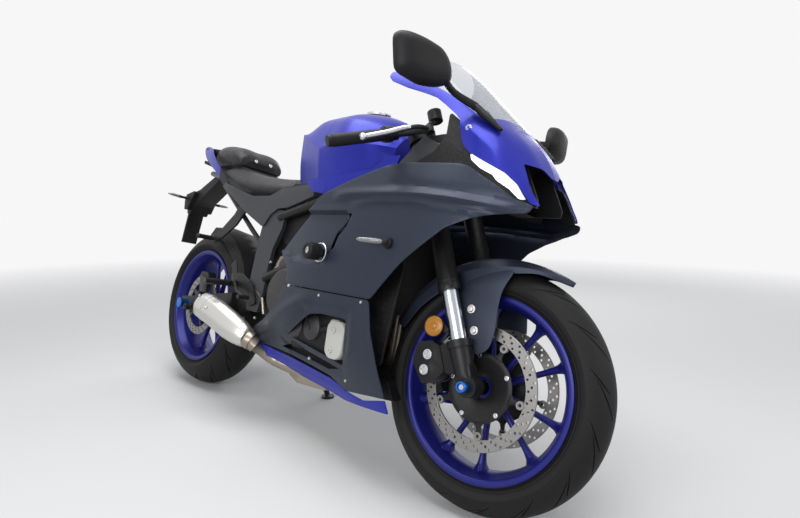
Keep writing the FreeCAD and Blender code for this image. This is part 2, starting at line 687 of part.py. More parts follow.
def build_front_calipers():
    """Four-piston calipers behind the fork feet, open over the disc."""
    spread = size("front_disc_spread") / 2
    thickness = size("disc_thickness")
    outer = size("fork_spread") / 2 + 8
    seat = CALIPER_FACE - size("seat_gap")
    outline = [(-108, 92), (-84, 136), (-42, 130), (seat, 112), (seat, 48), (-52, 34), (-92, 32)]
    body = flat_plate([Vector(x, spread - 16, z) for x, z in outline], Vector(0, outer - spread + 16, 0), 9)
    gap = Part.makeCylinder(size("front_disc_radius") + 5, thickness + 10,
                            Vector(size("fork_offset"), spread - thickness / 2 - 5, 0), Vector(0, 1, 0))
    caps = [Part.makeCylinder(12, 4, Vector(x, outer, z), Vector(0, 1, 0)) for x, z in ((-56, 98), (-74,
                                                                64))]
    shape = joined([body] + caps).cut(gap)
    keep_shape("front_calipers", both_sides(largest(shape)), "steering")


def build_front_axle():
    """Axle through both fork feet, with a turned slider bobbin on each end."""
    half = size("fork_spread") / 2
    parts = []
    shaft = doc.addObject("Part::Cylinder", "front_shaft")
    shaft.setExpression("Radius", "Sizes.front_axle_radius")
    shaft.setExpression("Height", "Sizes.fork_spread + 60")
    shaft.Placement = Placement(Vector(size("fork_offset"), half + 30, 0), Rotation(Vector(1, 0, 0), 90))
    parts.append(shaft)
    for side, word in ((-1, "right"), (1, "left")):
        cap = doc.addObject("Part::Cone", "front_cap_" + word)
        cap.Radius1, cap.Radius2, cap.Height = 20, 16, 16
        cap.Placement = Placement(Vector(size("fork_offset"), side * (half + 26), 0), Rotation(Vector(1, 0,
                                                                0), -90 * side))
        parts.append(cap)
    for side, word in ((-1, "right"), (1, "left")):
        spacer = doc.addObject("Part::Cylinder", "front_spacer_" + word)
        spacer.Radius = 17
        spacer.setExpression("Height", "Sizes.fork_spread / 2 - 21.3 - Sizes.front_hub_width / 2")
        spacer.Placement = Placement(Vector(size("fork_offset"),
                                            side * (size("front_hub_width") / 2 + 0.3), 0),
                                     Rotation(Vector(1, 0, 0), -90 * side))
        parts.append(spacer)
    fused = doc.addObject("Part::MultiFuse", "front_axle")
    fused.Shapes = parts
    keep(fused, "front_axle", "steering")


def build_fork_reflectors():
    """Round amber reflectors on brackets behind the fork feet."""
    half = size("fork_spread") / 2
    disc = Part.makeCylinder(20, 8, Vector(-14, half + 22, 158), Vector(0, 1, 0))
    arm = Part.makeBox(30, 4, 16, Vector(-14, half + 18, 150))
    link = flat_plate([Vector(x, half + 18, z) for x, z in ((4, 126), (20, 126), (16, 166), (-4, 166))],
                      Vector(0, 4, 0))
    post = Part.makeBox(12, 20, 12, Vector(6, half + 0, 127))
    shape = joined([disc, arm, link, post]).cut(Part.makeCompound(
        fork_legs(size("fork_slider_radius"), 0, 300) + fork_legs(26.2, size("fork_slider_bottom"), 152)))
    keep_shape("fork_reflectors", both_sides(largest(shape)), "steering")


# Frame, engine and running gear
def build_main_frame():
    """Steel tube frame: head tube, two tubes a side and cross tubes at the shock and the pivot."""
    radius = size("frame_tube_radius")
    low = size("lower_clamp_height") + size("lower_clamp_depth") + size("seat_gap")
    high = size("top_clamp_height") - size("seat_gap")
    head = Part.makeCylinder(size("head_tube_radius"), high - low, Vector(0, 0, low))
    bore = Part.makeCylinder(size("stem_radius") + size("running_fit"), high - low, Vector(0, 0, low))
    head.Placement = fork_frame
    bore.Placement = fork_frame
    upper = pipe([spot(1122, 20, 838), spot(985, 104, 795), spot(760, 126, 738), spot(548, 126, 684)],
                 radius, 60)
    lower = pipe([spot(1130, 16, 815), spot(1010, 100, 735), spot(800, 128, 585), spot(520, 126, 470)],
                 radius, 60)
    strut = rod(spot(985, 104, 795), spot(800, 128, 585), radius - 3)
    tubes = [head, upper, lower, strut, other_side(upper), other_side(lower), other_side(strut)]
    tubes += [rod(spot(548, -126, 684), spot(548, 126, 684), radius), rod(spot(985, -104, 795), spot(985,
                                                                104, 795), radius - 3)]
    keep_shape("main_frame", joined(tubes).cut(bore).cut(Part.makeCompound([brace_plate(),
                                                                other_side(brace_plate())])), "chassis")


def brace_plate():
    """Cast plate on the left of the swingarm pivot, from the seat rail down to the footrest."""
    outline = [(470, 690), (490, 712), (580, 706), (574, 645), (540, 575), (530, 520), (528, 430), (510,
                                                                350),
               (440, 350), (430, 420), (436, 500), (444, 600), (452, 655)]
    low = size("brace_inner")
    return side_plate(outline, low, low + size("brace_thickness"), 14)


def build_centre_braces():
    """Grey brace plates; the left one carries the side-stand lug."""
    low = size("brace_inner")
    pivot_x, pivot_z = size("stand_pivot_place"), size("stand_pivot_height")
    lug = side_plate([(452, 372), (500, 372), (pivot_x + 20, pivot_z), (pivot_x, pivot_z - 20),
                      (pivot_x - 20, pivot_z)], low, low + 10, 8)
    axis = stand_axis()
    pin = rod(stand_pivot() - axis * ((size("stand_pivot_out") - low - 1) / axis.y),
              stand_pivot() + axis * 12, 6)
    left = joined([brace_plate(), lug, pin])
    keep_shape("centre_braces", Part.makeCompound([left, other_side(brace_plate())]), "chassis")


def build_subframe():
    """Seat rails, their lower stays and the pillion footrest hangers."""
    radius = size("subframe_tube_radius")
    low = size("brace_inner")
    rail = pipe([spot(515, low - 12, 690), spot(330, 92, 740), spot(60, 84, 838), spot(-150, 50, 880)],
                radius, 60)
    stay = pipe([spot(470, low - 12, 560), spot(330, 98, 640), spot(40, 84, 815)], radius - 2, 60)
    cross = rod(spot(60, -84, 838), spot(60, 84, 838), radius - 2)
    rear = rod(spot(-150, -50, 880), spot(-150, 50, 880), radius)
    hanger = side_plate([(306, 764), (275, 770), (215, 690), (130, 625), (62, 602), (60, 582), (92, 574),
                         (150, 596),
                         (240, 650), (300, 712)], 108, 116, 6)
    peg = joined([rod(spot(84, 112, 590), spot(74, 172, 590), 9), Part.makeSphere(10, spot(74, 172, 590))])
    boss = rod(spot(285, 88, 756), spot(285, 112, 756), 9)
    left = [rail, stay, hanger, peg, boss]
    pads = [rod(spot(515, low - 12, 690), spot(515, low, 690), radius), rod(spot(470, low - 12, 560),
                                                                spot(470, low, 560), radius - 2)]
    solids = left + pads + [other_side(solid) for solid in left + pads] + [cross, rear]
    keep_shape("subframe", joined(solids).cut(drawn("main_frame")), "chassis")


def drawn(label):
    """A finished chassis piece in its upright drawing place."""
    shape = doc.getObject(label).Shape.copy()
    shape.Placement = stance.inverse().multiply(shape.Placement)
    return shape


def build_engine():
    """Twin-cylinder engine: crankcase, forward-leaning cylinders, sump and side covers."""
    case = side_plate([(590, 486), (578, 380), (600, 300), (700, 262), (900, 262), (958, 330), (940, 430),
                       (860, 480), (700, 540), (620, 530)], -112, 112, 20)
    gearbox = side_plate([(600, 480), (545, 460), (505, 420), (510, 360), (590, 310), (620, 480)], -112,
                         80, 16)
    cylinders = side_plate([(752, 500), (880, 430), (992, 620), (960, 690), (850, 722), (800, 640)], -98,
                           98, 16)
    sump = side_plate([(680, 270), (870, 270), (845, 214), (705, 214)], -62, 62, 12)
    clutch = rod(spot(655, 112, 430), spot(655, 150, 430), 86)
    clutch = other_side(clutch.makeChamfer(10,
                                           [edge for edge in clutch.Edges if edge.CenterOfMass.y > 149]))
    pump = other_side(rod(spot(640, 112, 515), spot(640, 142, 515), 34))
    alternator = rod(spot(850, 112, 380), spot(850, 146, 380), 78)
    alternator = alternator.makeChamfer(10,
                                        [edge for edge in alternator.Edges if edge.CenterOfMass.y > 145])
    middle = front_sprocket
    shaft = rod(middle + Vector(0, 60, 0), middle + Vector(0, 112, 0), 13)
    drive = toothed_wheel(int(size("front_sprocket_teeth")), size("sprocket_thickness"),
                          size("chain_place") - size("sprocket_thickness") / 2, CHAIN_HALF_HEIGHT + 1)
    drive.translate(middle)
    room = rod(middle + Vector(0, 84, 0), middle + Vector(0, 118, 0), 58)
    strip = side_plate([(560, 453), (400, 453), (400, 337), (560, 337)], 84, 118)
    shape = joined([case, gearbox, cylinders, sump, clutch, pump, alternator]).cut(room).cut(strip)
    shape = joined([shape, shaft, drive])
    shape = shape.cut(drawn("main_frame")).cut(drawn("centre_braces"))
    keep_shape("engine", largest(shape), "chassis")


def build_radiator():
    """Radiator core between end tanks, with its lower hose, hung in front of the engine."""
    core = side_plate([(1030, 430), (1062, 430), (1062, 700), (1030, 700)], -150, 150)
    tanks = side_plate([(1024, 424), (1068, 424), (1068, 706), (1024, 706)], 150, 168, 6)
    stay = rod(spot(985, 60, 640), spot(1034, 60, 640), 8)
    hose = pipe([spot(1036, -160, 440), spot(980, -150, 380), spot(880, -140, 350), spot(880, -112, 350)],
                14, 40)
    shape = joined([core, tanks, other_side(tanks), stay, other_side(stay), hose])
    shape = shape.cut(drawn("engine")).cut(drawn("main_frame"))
    keep_shape("radiator", largest(shape), "chassis")


def build_exhaust_pipes():
    """Two headers, their collector under the engine and the link pipe to the silencer."""
    radius = 21
    headers = [pipe([spot(975, side * 45, 600), spot(1003, side * 45, 560), spot(1003, side * 45, 300),
                     spot(930, side * 30, 196), spot(800, side * 24, 184)], radius, 70) for side in (-1, 1)]
    collector = side_plate([(840, 212), (840, 158), (690, 150), (640, 166), (640, 210)], -50, 50, 12)
    link = pipe([spot(690, -30, 185), spot(580, -74, 204), spot(522, -158, 261)], 22, 60)
    flange = rod(spot(540, -132, 243), spot(522, -158, 261), 27)
    shape = joined(headers + [collector, link, flange]).cut(drawn("engine")).cut(drawn("radiator"))
    keep_shape("exhaust_pipes", largest(shape), "chassis")


# Silencer stations from the front end to the rear: x, y, z of the middle, half width, half height
MUFFLER_STATIONS = ((520, -160, 262, 26, 26), (478, -166, 273, 37, 42), (430, -174, 289, 41, 49),
                    (330, -194, 328, 42, 55), (262, -203, 342, 41, 48), (215, -207, 344, 27, 24))
CAN_CORNERS = 8
CAN_CORNER_SHARE = 1.08
TAILPIPE_RADIUS = 17


def build_muffler():
    """Short silencer can, low on the right, with tapered ends and a recessed tailpipe."""
    front, rear = spot(*MUFFLER_STATIONS[0][:3]), spot(*MUFFLER_STATIONS[-1][:3])
    along = (rear - front).normalize()
    across = (Vector(0, 1, 0) - along * along.y).normalize()
    upward = across.cross(along) * -1
    wires = []
    for x, y, z, half_width, half_height in MUFFLER_STATIONS:
        corners = []
        for corner in range(CAN_CORNERS):
            turn = 2 * math.pi * (corner + 0.5) / CAN_CORNERS
            corners.append(spot(x, y, z) + across * (half_width * CAN_CORNER_SHARE * math.cos(turn)) +
                           upward * (half_height * CAN_CORNER_SHARE * math.sin(turn)))
        wires.append(rounded_wire(corners, [18] * CAN_CORNERS, True))
    can = Part.makeLoft(wires, True, False)
    outlet = rod(rear - along * 24, rear + along * 10, TAILPIPE_RADIUS + 3)
    end_room = rod(rear - along * 20, rear + along * 12, TAILPIPE_RADIUS)
    bracket = side_plate([(330, 360), (350, 360), (372, 440), (352, 448)], -160, -152, 4)
    pin = rod(spot(341, -158, 368), spot(341, -190, 362), 8)
    shape = joined([can, outlet, bracket, pin]).cut(end_room).cut(drawn("exhaust_pipes"))
    keep_shape("muffler", largest(shape), "chassis")


def build_swingarm():
    """Swingarm: pivot tube, bridge ahead of the tyre and two tapering arms with axle ends."""
    inner, wall = size("swingarm_inner"), size("swingarm_wall")
    outline = [(505, 404), (430, 412), (300, 392), (60, 352), (-42, 340), (-46, 292), (40, 290), (300, 322),
               (440, 352), (505, 366)]
    arm = side_plate(outline, inner, inner + wall, 12).common(window([(-60, 200), (-60, 500), (345, 500),
                                                                (345, 200)]))
    root = side_plate(outline, 86, size("brace_inner") - size("seat_gap"), 12)
    root = root.common(window([(330, 200), (330, 500), (510, 500), (510, 200)]))
    elbow = side_plate([(322, 326), (322, 394), (346, 398), (346, 330)], 86, inner + wall - 2, 4)
    pivot = rod(spot(470, -117.7, 385), spot(470, 117.7, 385), 26)
    bridge = side_plate([(492, 400), (360, 404), (345, 380), (352, 345), (440, 352), (492, 366)], -100,
                        100, 10)
    arm = joined([arm, root, elbow])
    axle = rod(rear_axle + Vector(0, -200, 0), rear_axle + Vector(0, 200, 0), size("rear_axle_radius"))
    bobbin = rod(spot(40, inner + wall, 306), spot(40, inner + wall + 22, 306), 12)
    mount = rod(spot(40, inner + wall + 2, 306), spot(40, inner + wall + 23, 306), 4)
    shape = joined([arm, other_side(arm), pivot, bridge, bobbin, other_side(bobbin)])
    shape = shape.cut(axle).cut(Part.makeCompound([mount, other_side(mount)]))
    slider_x = (350, 470)
    slider = side_plate([(slider_x[0], 388), (slider_x[0], chain_underside(slider_x[0])),
                         (slider_x[1], chain_underside(slider_x[1])), (slider_x[1], 396)], 97, 113)
    keep_shape("swingarm", joined([shape, slider]), "chassis")


def build_rear_axle():
    """Rear axle with spacers, adjuster blocks and slider bobbins."""
    reach = size("swingarm_inner") + size("swingarm_wall")
    radius = size("rear_axle_radius")
    shaft = Part.makeCylinder(radius, 2 * reach + 50, Vector(0, -reach - 25, 0), Vector(0, 1, 0))
    parts = [shaft]
    for side, wheel_face in ((1, size("rear_hub_width") / 2), (-1, size("rear_hub_width") / 2)):
        start = Vector(0, side * (wheel_face + 0.3), 0)
        parts.append(Part.makeCylinder(17, size("swingarm_inner") - wheel_face - 0.3, start, Vector(0,
                                                                side, 0)))
        face = Vector(0, side * reach, 0)
        parts.append(Part.makeCylinder(17, 8, face, Vector(0, side, 0)))
        parts.append(Part.makeCone(17, 20, 20, face + Vector(0, side * 8, 0), Vector(0, side, 0)))
    shape = joined(parts)
    piece = doc.addObject("Part::Feature", "rear_axle")
    piece.Shape = shape
    piece.Placement = Placement(rear_axle, Rotation())
    keep(piece, "rear_axle", "chassis")


def build_rear_shock():
    """Shock absorber with its coil spring, from the bridge up to the frame's cross tube."""
    foot, head = spot(414, 0, 396), spot(530, 0, 672)
    along = (head - foot).normalize()
    body = [rod(foot, head, 12), rod(foot + along * 150, head - along * 20, 22)]
    for turn in range(8):
        middle = foot + along * (52 + 20 * turn)
        coil = Part.makeTorus(29, 5.5, middle, along)
        body.append(coil)
    body.append(rod(foot + along * 36, foot + along * 47, 36))
    body.append(rod(foot + along * 198, foot + along * 206, 36))
    body.append(rod(foot + along * 44, foot + along * 200, 24.5))
    shape = joined(body).cut(drawn("main_frame")).cut(drawn("swingarm")).cut(drawn("engine"))
    keep_shape("rear_shock", largest(shape), "chassis")


def build_rear_caliper():
    """Small caliper over the rear disc, carried by the right arm."""
    inner = size("rear_disc_place") + size("disc_thickness") / 2
    body = side_plate([(-14, 408), (-10, 452), (46, 452), (66, 420), (52, 384), (20, 392)], -inner - 17,
                      -inner + 17, 10)
    gap = Part.makeCylinder(size("rear_disc_radius") + 5, size("disc_thickness") + 10,
                            rear_axle + Vector(0, -inner - size("disc_thickness") / 2 - 5, 0), Vector(0, 1,
                                                                0))
    stay = side_plate([(-8, 440), (56, 430), (70, 350), (20, 340)], -inner - 23, -inner - 10, 6)
    foot = side_plate([(34, 372), (62, 372), (66, 338), (30, 338)], -size("swingarm_inner") - 4,
                      -inner - 12, 4)
    shape = joined([body, stay, foot]).cut(gap).cut(drawn("swingarm"))
    keep_shape("rear_caliper", largest(shape), "chassis")


# Stand
def ground_point(x, y):
    """The point of the upright drawing that lies on the floor once the bike leans."""
    up = stance.inverse().Rotation.multVec(Vector(0, 0, 1))
    low = stance.multVec(Vector(x, y, 0)).z
    return Vector(x, y, -low / up.z)


def stand_pivot():
    return spot(size("stand_pivot_place"), size("stand_pivot_out"), size("stand_pivot_height"))


def stand_foot():
    pivot = stand_pivot()
    return ground_point(pivot.x + 54, pivot.y + 92)


def stand_axis():
    """Square to the leg when it is down and when it is folded back."""
    down = (stand_foot() - spot(size("stand_pivot_place"), size("stand_pivot_out"),
                                size("stand_pivot_height"))).normalize()
    folded = Vector(-1, 0.16, 0.16).normalize()
    axis = down.cross(folded)
    axis.normalize()
    return axis if axis.y > 0 else axis * -1


def build_side_stand():
    """Stand leg with its eye on the pivot pin, a flat foot and the rider's tang."""
    pivot, foot, axis = stand_pivot(), stand_foot(), stand_axis()
    up = stance.inverse().Rotation.multVec(Vector(0, 0, 1))
    radius = size("stand_leg_radius")
    eye = rod(pivot - axis * 7, pivot + axis * 7, 17)
    leg = rod(pivot, foot + up * 10, radius)
    sole = Part.makeCylinder(size("stand_foot_radius"), 7, foot, up)
    along = (foot - pivot).normalize()
    tang_root = pivot + along * (foot - pivot).Length * 0.55
    tang = rod(tang_root, tang_root + Vector(34, 26, 4), 5)
    hole = rod(pivot - axis * 60, pivot + axis * 60, 6 + size("running_fit"))
    keep_shape("side_stand", joined([eye, leg, sole, tang]).cut(hole), "stand")


# Tank and seats
TANK_STATIONS = (
    (558, ((0, 1000), (52, 985), (82, 930), (88, 870), (74, 800))),
    (640, ((0, 1036), (86, 1008), (122, 930), (112, 860), (98, 798))),
    (740, ((0, 1050), (118, 1012), (158, 925), (134, 860), (122, 800))),
    (860, ((0, 1042), (132, 1000), (178, 912), (160, 860), (146, 806))),
    (970, ((0, 1010), (114, 966), (152, 905), (138, 868), (126, 836))),
    (1026, ((0, 956), (70, 938), (98, 905), (98, 880), (92, 858))),
)


def closed_loft(stations, ruled=False):
    """A solid lofted through stations of (x, left line from the top down), closed by its mirror image."""
    wires = []
    for x, line in stations:
        left = [spot(x, y, z) for y, z in line]
        right = [spot(x, -y, z) for y, z in reversed(line) if y > 0]
        points = left + right
        wires.append(Part.makePolygon(points + points[:1]))
    return Part.makeLoft(wires, True, ruled)


FILLER = (815, 1050)


def build_fuel_tank():
    """Fuel tank with knee recesses and a raised filler flange on top."""
    tank = closed_loft(TANK_STATIONS)
    x, z = FILLER
    seat = rod(spot(x, 0, z - 60), spot(x, 0, z), size("filler_radius"))
    neck = rod(spot(x, 0, z - 30), spot(x, 0, z + 1), size("filler_radius") - 12)
    foot = rod(spot(760, 112, 742), spot(760, 100, 840), 10)
    shape = joined([tank, seat, foot, other_side(foot)]).cut(neck).cut(drawn("main_frame"))
    keep_shape("fuel_tank", largest(shape), "chassis")


def build_filler_lid():
    """Hinged filler lid resting on the tank's flange, hinge in front."""
    x, z = FILLER
    gap = size("seat_gap")
    top = rod(spot(x, 0, z + gap), spot(x, 0, z + 8), size("filler_radius") - 3)
    knuckle = rod(spot(x + size("filler_radius") + 1, -12, z + 5), spot(x + size("filler_radius") + 1, 12,
                                                                z + 5), 4.5)
    ear = Part.makeBox(14, 20, 6, spot(x + size("filler_radius") - 12, -10, z + 2))
    keep_shape("filler_lid", joined([top, knuckle, ear]), "lid")


def build_tank_side_covers():
    """Bright panels that close the gap between tank and side fairing."""
    outline = [(722, 798), (760, 762), (830, 752), (1090, 836), (1100, 864), (1054, 862), (1010, 828),
               (860, 804)]
    outer = skin(((700, ((170, 850), (168, 800), (158, 740))), (860, ((178, 850), (176, 800), (172, 740))),
                  (1000, ((162, 890), (160, 830), (160, 780))), (1110, ((146, 900), (148, 850), (150,
                                                                800)))), 3)
    panel = outer.common(window(outline, radius=6)).cut(drawn("fuel_tank"))
    peg = rod(spot(985, 100, 795), spot(985, 158, 820), 6)
    panel = joined([largest(panel), peg]).cut(drawn("main_frame")).cut(drawn("fuel_tank"))
    panel = largest(panel)
    keep_shape("tank_side_covers", both_sides(panel), "chassis")


RIDER_SEAT_STATIONS = (
    (40, ((0, 896), (98, 888), (114, 856), (104, 828))),
    (120, ((0, 884), (104, 876), (124, 842), (108, 812))),
    (210, ((0, 866), (108, 858), (130, 822), (112, 788))),
    (345, ((0, 842), (104, 834), (128, 796), (112, 762))),
    (462, ((0, 836), (86, 826), (116, 790), (104, 764))),
    (558, ((0, 846), (58, 826), (96, 796), (90, 782))),
)


def build_rider_seat():
    """Rider's saddle, dished in the middle and narrow at the nose."""
    seat = closed_loft(RIDER_SEAT_STATIONS)
    shape = seat.cut(drawn("fuel_tank")).cut(drawn("subframe"))
    keep_shape("rider_seat", largest(shape), "chassis")


PILLION_STATIONS = (
    (-150, ((0, 985), (44, 978), (62, 960), (56, 918))),
    (-40, ((0, 990), (78, 982), (100, 955), (90, 894))),
    (80, ((0, 976), (96, 966), (114, 936), (104, 893))),
    (160, ((0, 956), (84, 944), (104, 916), (96, 888))),
)


def build_pillion_seat():
    """Short raised pillion pad."""
    keep_shape("pillion_seat", closed_loft(PILLION_STATIONS).cut(drawn("rider_seat")), "chassis")


def build_seat_side_covers():
    """Grey covers under the saddle, running forward to the tank."""
    outline = [(733, 793), (744, 753), (600, 716), (540, 712), (498, 690), (462, 645), (300, 708), (190,
                                                                764),
               (128, 800), (136, 814), (365, 757), (475, 757), (545, 783)]
    outer = skin(((40, ((112, 860), (110, 800), (100, 740))), (260, ((144, 830), (142, 770), (130, 700))),
                  (480, ((134, 820), (138, 745), (138, 650))), (600, ((134, 830), (142, 760), (140, 680))),
                  (760, ((150, 830), (152, 780), (150, 720)))), 3)
    panel = outer.common(window(outline, radius=5))
    peg = rod(spot(330, 92, 740), spot(330, 139, 745), 6)
    panel = joined([panel, peg])
    for label in ("main_frame", "centre_braces", "subframe", "fuel_tank", "rider_seat", "tank_side_covers"):
        panel = panel.cut(drawn(label))
    panel = largest(panel)
    keep_shape("seat_side_covers", both_sides(panel), "chassis")


def build_tail_cowl():
    """Blue tail: two slim blades that sweep up and back beside the pillion pad, and the tray between them."""
    outline = [(-232, 1000), (-200, 1000), (-114, 977), (0, 912), (65, 872), (128, 836), (150, 812), (120,
                                                                797),
               (72, 829), (7, 868), (-134, 930), (-222, 990)]
    outer = skin(((-330, ((36, 1030), (44, 1000), (40, 960), (34, 920))),
                  (-180, ((60, 1010), (84, 975), (84, 925), (70, 890))),
                  (0, ((96, 975), (120, 935), (122, 890), (118, 840))),
                  (160, ((108, 930), (132, 890), (134, 850), (130, 780)))), 4)
    blade = largest(outer.common(window(outline, radius=4)))
    foot = rod(spot(-60, 64, 860), spot(-60, 72, 896), 7)
    peg = rod(spot(-60, 66, 896), spot(-60, 110, 912), 7)
    tray = side_plate([(-200, 934), (-60, 900), (60, 880), (60, 872), (-60, 890), (-200, 924)], -78, 78, 3)
    shape = joined([blade, other_side(blade), foot, other_side(foot), peg, other_side(peg), tray])
    for label in ("subframe", "rider_seat", "pillion_seat"):
        shape = shape.cut(drawn(label))
    keep_shape("tail_cowl", largest(shape), "chassis")


def build_tail_lamp():
    """Lamp between the tips of the tail."""
    lamp = side_plate([(-206, 974), (-232, 962), (-206, 926), (-168, 938), (-168, 968)], -34, 34, 8)
    neck = side_plate([(-184, 950), (-184, 936), (-140, 890), (-128, 896)], -20, 20, 4)
    shape = joined([lamp, neck])
    for label in ("tail_cowl", "subframe", "pillion_seat"):
        shape = shape.cut(drawn(label))
    keep_shape("tail_lamp", largest(shape), "chassis")


def build_plate_holder():
    """Arm and block behind the wheel, with the narrow tongue that a number plate is fastened to."""
    arm = side_plate([(-60, 878), (-110, 884), (-262, 812), (-352, 790), (-364, 760), (-350, 700),
                      (-322, 700), (-296, 742), (-236, 772)], -42, 42, 8)
    block = side_plate([(-262, 806), (-350, 786), (-360, 760), (-350, 716), (-320, 716), (-298, 756)], -60,
                       60, 8)
    half = size("plate_tongue_width") / 2
    tongue = side_plate([(-338, 722), (-352, 722), (-374, 566), (-366, 566)], -half, half, 2)
    bar = rod(spot(-336, -76, 768), spot(-336, 76, 768), 6)
    shape = joined([arm, block, tongue, bar])
    for label in ("subframe", "tail_cowl", "tail_lamp"):
        shape = shape.cut(drawn(label))
    keep_shape("plate_holder", largest(shape), "chassis")


def indicator(foot, root, tip, base_radius):
    """A slim turn indicator: a round base, and a lens that tapers towards its rounded tip."""
    lens = Part.makeCone(10, 7, (tip - root).Length, root, tip - root)
    return joined([rod(foot, root, base_radius), Part.makeSphere(11, root), lens, Part.makeSphere(7.4, tip)])


def build_indicators():
    """Four indicators: two on the plate holder's bar, two on the side fairings."""
    rear = indicator(spot(-336, 66, 768), spot(-336, 88, 768), spot(-340, 146, 770), 8)
    front = indicator(spot(1172, 200, 614), spot(1172, 222, 614), spot(1112, 254, 613), 14)
    shape = Part.makeCompound([rear, other_side(rear), front, other_side(front)])
    shape = shape.cut(drawn("plate_holder")).cut(drawn("side_fairings"))
    solids = sorted(shape.Solids, key=lambda solid: -solid.Volume)[:4]
    keep_shape("indicators", Part.makeCompound(solids), "chassis")


# Bodywork. Each station is x, then (out, up) points from the top edge down
FAIRING_STATIONS = (
    (640, ((158, 840), (176, 750), (178, 716), (182, 600), (186, 450), (162, 330), (128, 266), (96, 190))),
    (800, ((176, 850), (196, 750), (194, 716), (206, 600), (206, 450), (180, 330), (144, 266), (110, 190))),
    (960, ((188, 850), (210, 748), (204, 716), (216, 600), (212, 450), (192, 330), (164, 266), (134, 186))),
    (1120, ((186, 850), (214, 745), (206, 716), (214, 600), (209, 450), (200, 330), (188, 266), (166,
                                                                182))),
    (1280, ((172, 850), (204, 742), (198, 714), (206, 600), (207, 450), (205, 330), (201, 266), (190,
                                                                190))),
    (1410, ((150, 830), (176, 728), (172, 704), (180, 600), (186, 450), (190, 330), (190, 266), (184,
                                                                190))),
    (1530, ((96, 800), (112, 722), (108, 700), (120, 600), (120, 450), (120, 330), (118, 266), (100, 190))),
)
SIDE_OUTLINE = ((655, 571), (838, 737), (1001, 792), (1158, 827), (1330, 822), (1380, 800), (1435, 770),
                (1473, 744),
                (1512, 734), (1505, 716), (1389, 690), (1352, 662), (1290, 600), (1215, 538), (1132, 464),
                (705, 420),
                (712, 480))
LOWER_OUTLINE = ((705, 418), (1131, 462), (1150, 386), (1190, 298), (1226, 232), (975, 232), (740, 250),
                 (520, 252),
                 (530, 294), (648, 360))
OPENING_OUTLINE = ((735, 318), (863, 393), (1008, 401), (1002, 268))
BELLY_OUTLINE = ((520, 252), (740, 250), (975, 232), (1226, 232), (1240, 200), (1040, 184), (800, 193),
                 (510, 222))


def fairing_skin():
    front = ((500, ((150, 840), (160, 750), (160, 716), (166, 600), (168, 450), (150, 330), (132, 266),
                    (118, 205))),)
    return skin(front + FAIRING_STATIONS, size("panel_thickness"))


def largest_pair(shape, neighbours):
    """A left and a right solid, cut back where they meet their neighbours."""
    for label in neighbours:
        shape = shape.cut(drawn(label))
    return Part.makeCompound(sorted(shape.Solids, key=lambda solid: -solid.Volume)[:2])


def build_side_fairings():
    """Side panels from the nose back to the tank, creased along the middle."""
    panel = largest(fairing_skin().common(window(SIDE_OUTLINE, radius=6)))
    pegs = [rod(spot(1010, 100, 735), spot(1010, 206, 735), 7), rod(spot(800, 128, 585), spot(800, 203,
                                                                585), 7)]
    panel = largest(joined([panel] + pegs).cut(drawn("main_frame")))
    for label in ("tank_side_covers", "fuel_tank", "seat_side_covers"):
        panel = panel.cut(drawn(label))
    panel = panel.cut(rod(spot(905, 150, 572), spot(905, 260, 572), 14))
    keep_shape("side_fairings", both_sides(largest(panel)), "chassis")


def build_lower_fairings():
    """Lower panels round the engine, each with its three-cornered opening."""
    panel = largest(fairing_skin().common(window(LOWER_OUTLINE, radius=6)))
    panel = panel.cut(window(OPENING_OUTLINE, radius=14))
    pegs = [rod(spot(760, 100, 405), spot(760, 189, 405), 7), rod(spot(1046, 160, 440), spot(1046, 208,
                                                                440), 7)]
    panel = largest(joined([panel] + pegs))
    keep_shape("lower_fairings", largest_pair(both_sides(panel), ("engine", "muffler", "exhaust_pipes",
                                                                "radiator",
                                                                  "side_fairings")), "chassis")


def build_belly_pan():
    """Blue keel panel: both lower edges of the fairing, joined by a floor under the collector."""
    panel = largest(fairing_skin().common(window(BELLY_OUTLINE, radius=4)))
    keep_shape("belly_pan", largest_pair(both_sides(panel), ("engine", "exhaust_pipes", "muffler",
                                                             "lower_fairings")),
               "chassis")


NOSE_STATIONS = (
    (1020, ((60, 1190), (140, 1130), (154, 1104), (160, 1080), (162, 1040), (160, 1000))),
    (1140, ((60, 1140), (136, 1090), (154, 1062), (161, 1036), (166, 1000), (166, 940))),
    (1240, ((50, 1080), (128, 1035), (150, 1010), (160, 985), (170, 930), (172, 880))),
    (1320, ((10, 1010), (100, 985), (136, 958), (160, 926), (172, 872), (176, 820))),
    (1385, ((6, 951), (66, 944), (112, 928), (150, 888), (168, 835), (170, 790))),
    (1450, ((5, 884), (54, 876), (94, 850), (132, 812), (150, 776), (152, 745))),
    (1500, ((4, 800), (38, 794), (68, 784), (94, 768), (110, 752), (114, 735))),
    (1526, ((3, 744), (24, 742), (42, 740), (60, 738), (76, 735), (82, 730))),
)
COWL_OUTLINE = ((1024, 1111), (1040, 1108), (1122, 1074), (1195, 1041), (1245, 1013), (1319, 957), (1374,
                                                                934),
                (1376, 970), (1480, 880), (1560, 740), (1500, 738), (1471, 778), (1441, 804), (1356, 844),
                (1342, 856), (1322, 873), (1312, 906), (1291, 944), (1264, 968), (1242, 986), (1209, 1008),
                (1170, 1024), (1095, 1051), (1032, 1080), (1024, 1096))
LAMP_OUTLINE = ((1357, 842), (1441, 802.5), (1470, 777), (1498, 741), (1474, 746.5), (1435, 773), (1381,
                                                                803), (1361, 828))


def nose_skin(thickness):
    return skin(NOSE_STATIONS, thickness)


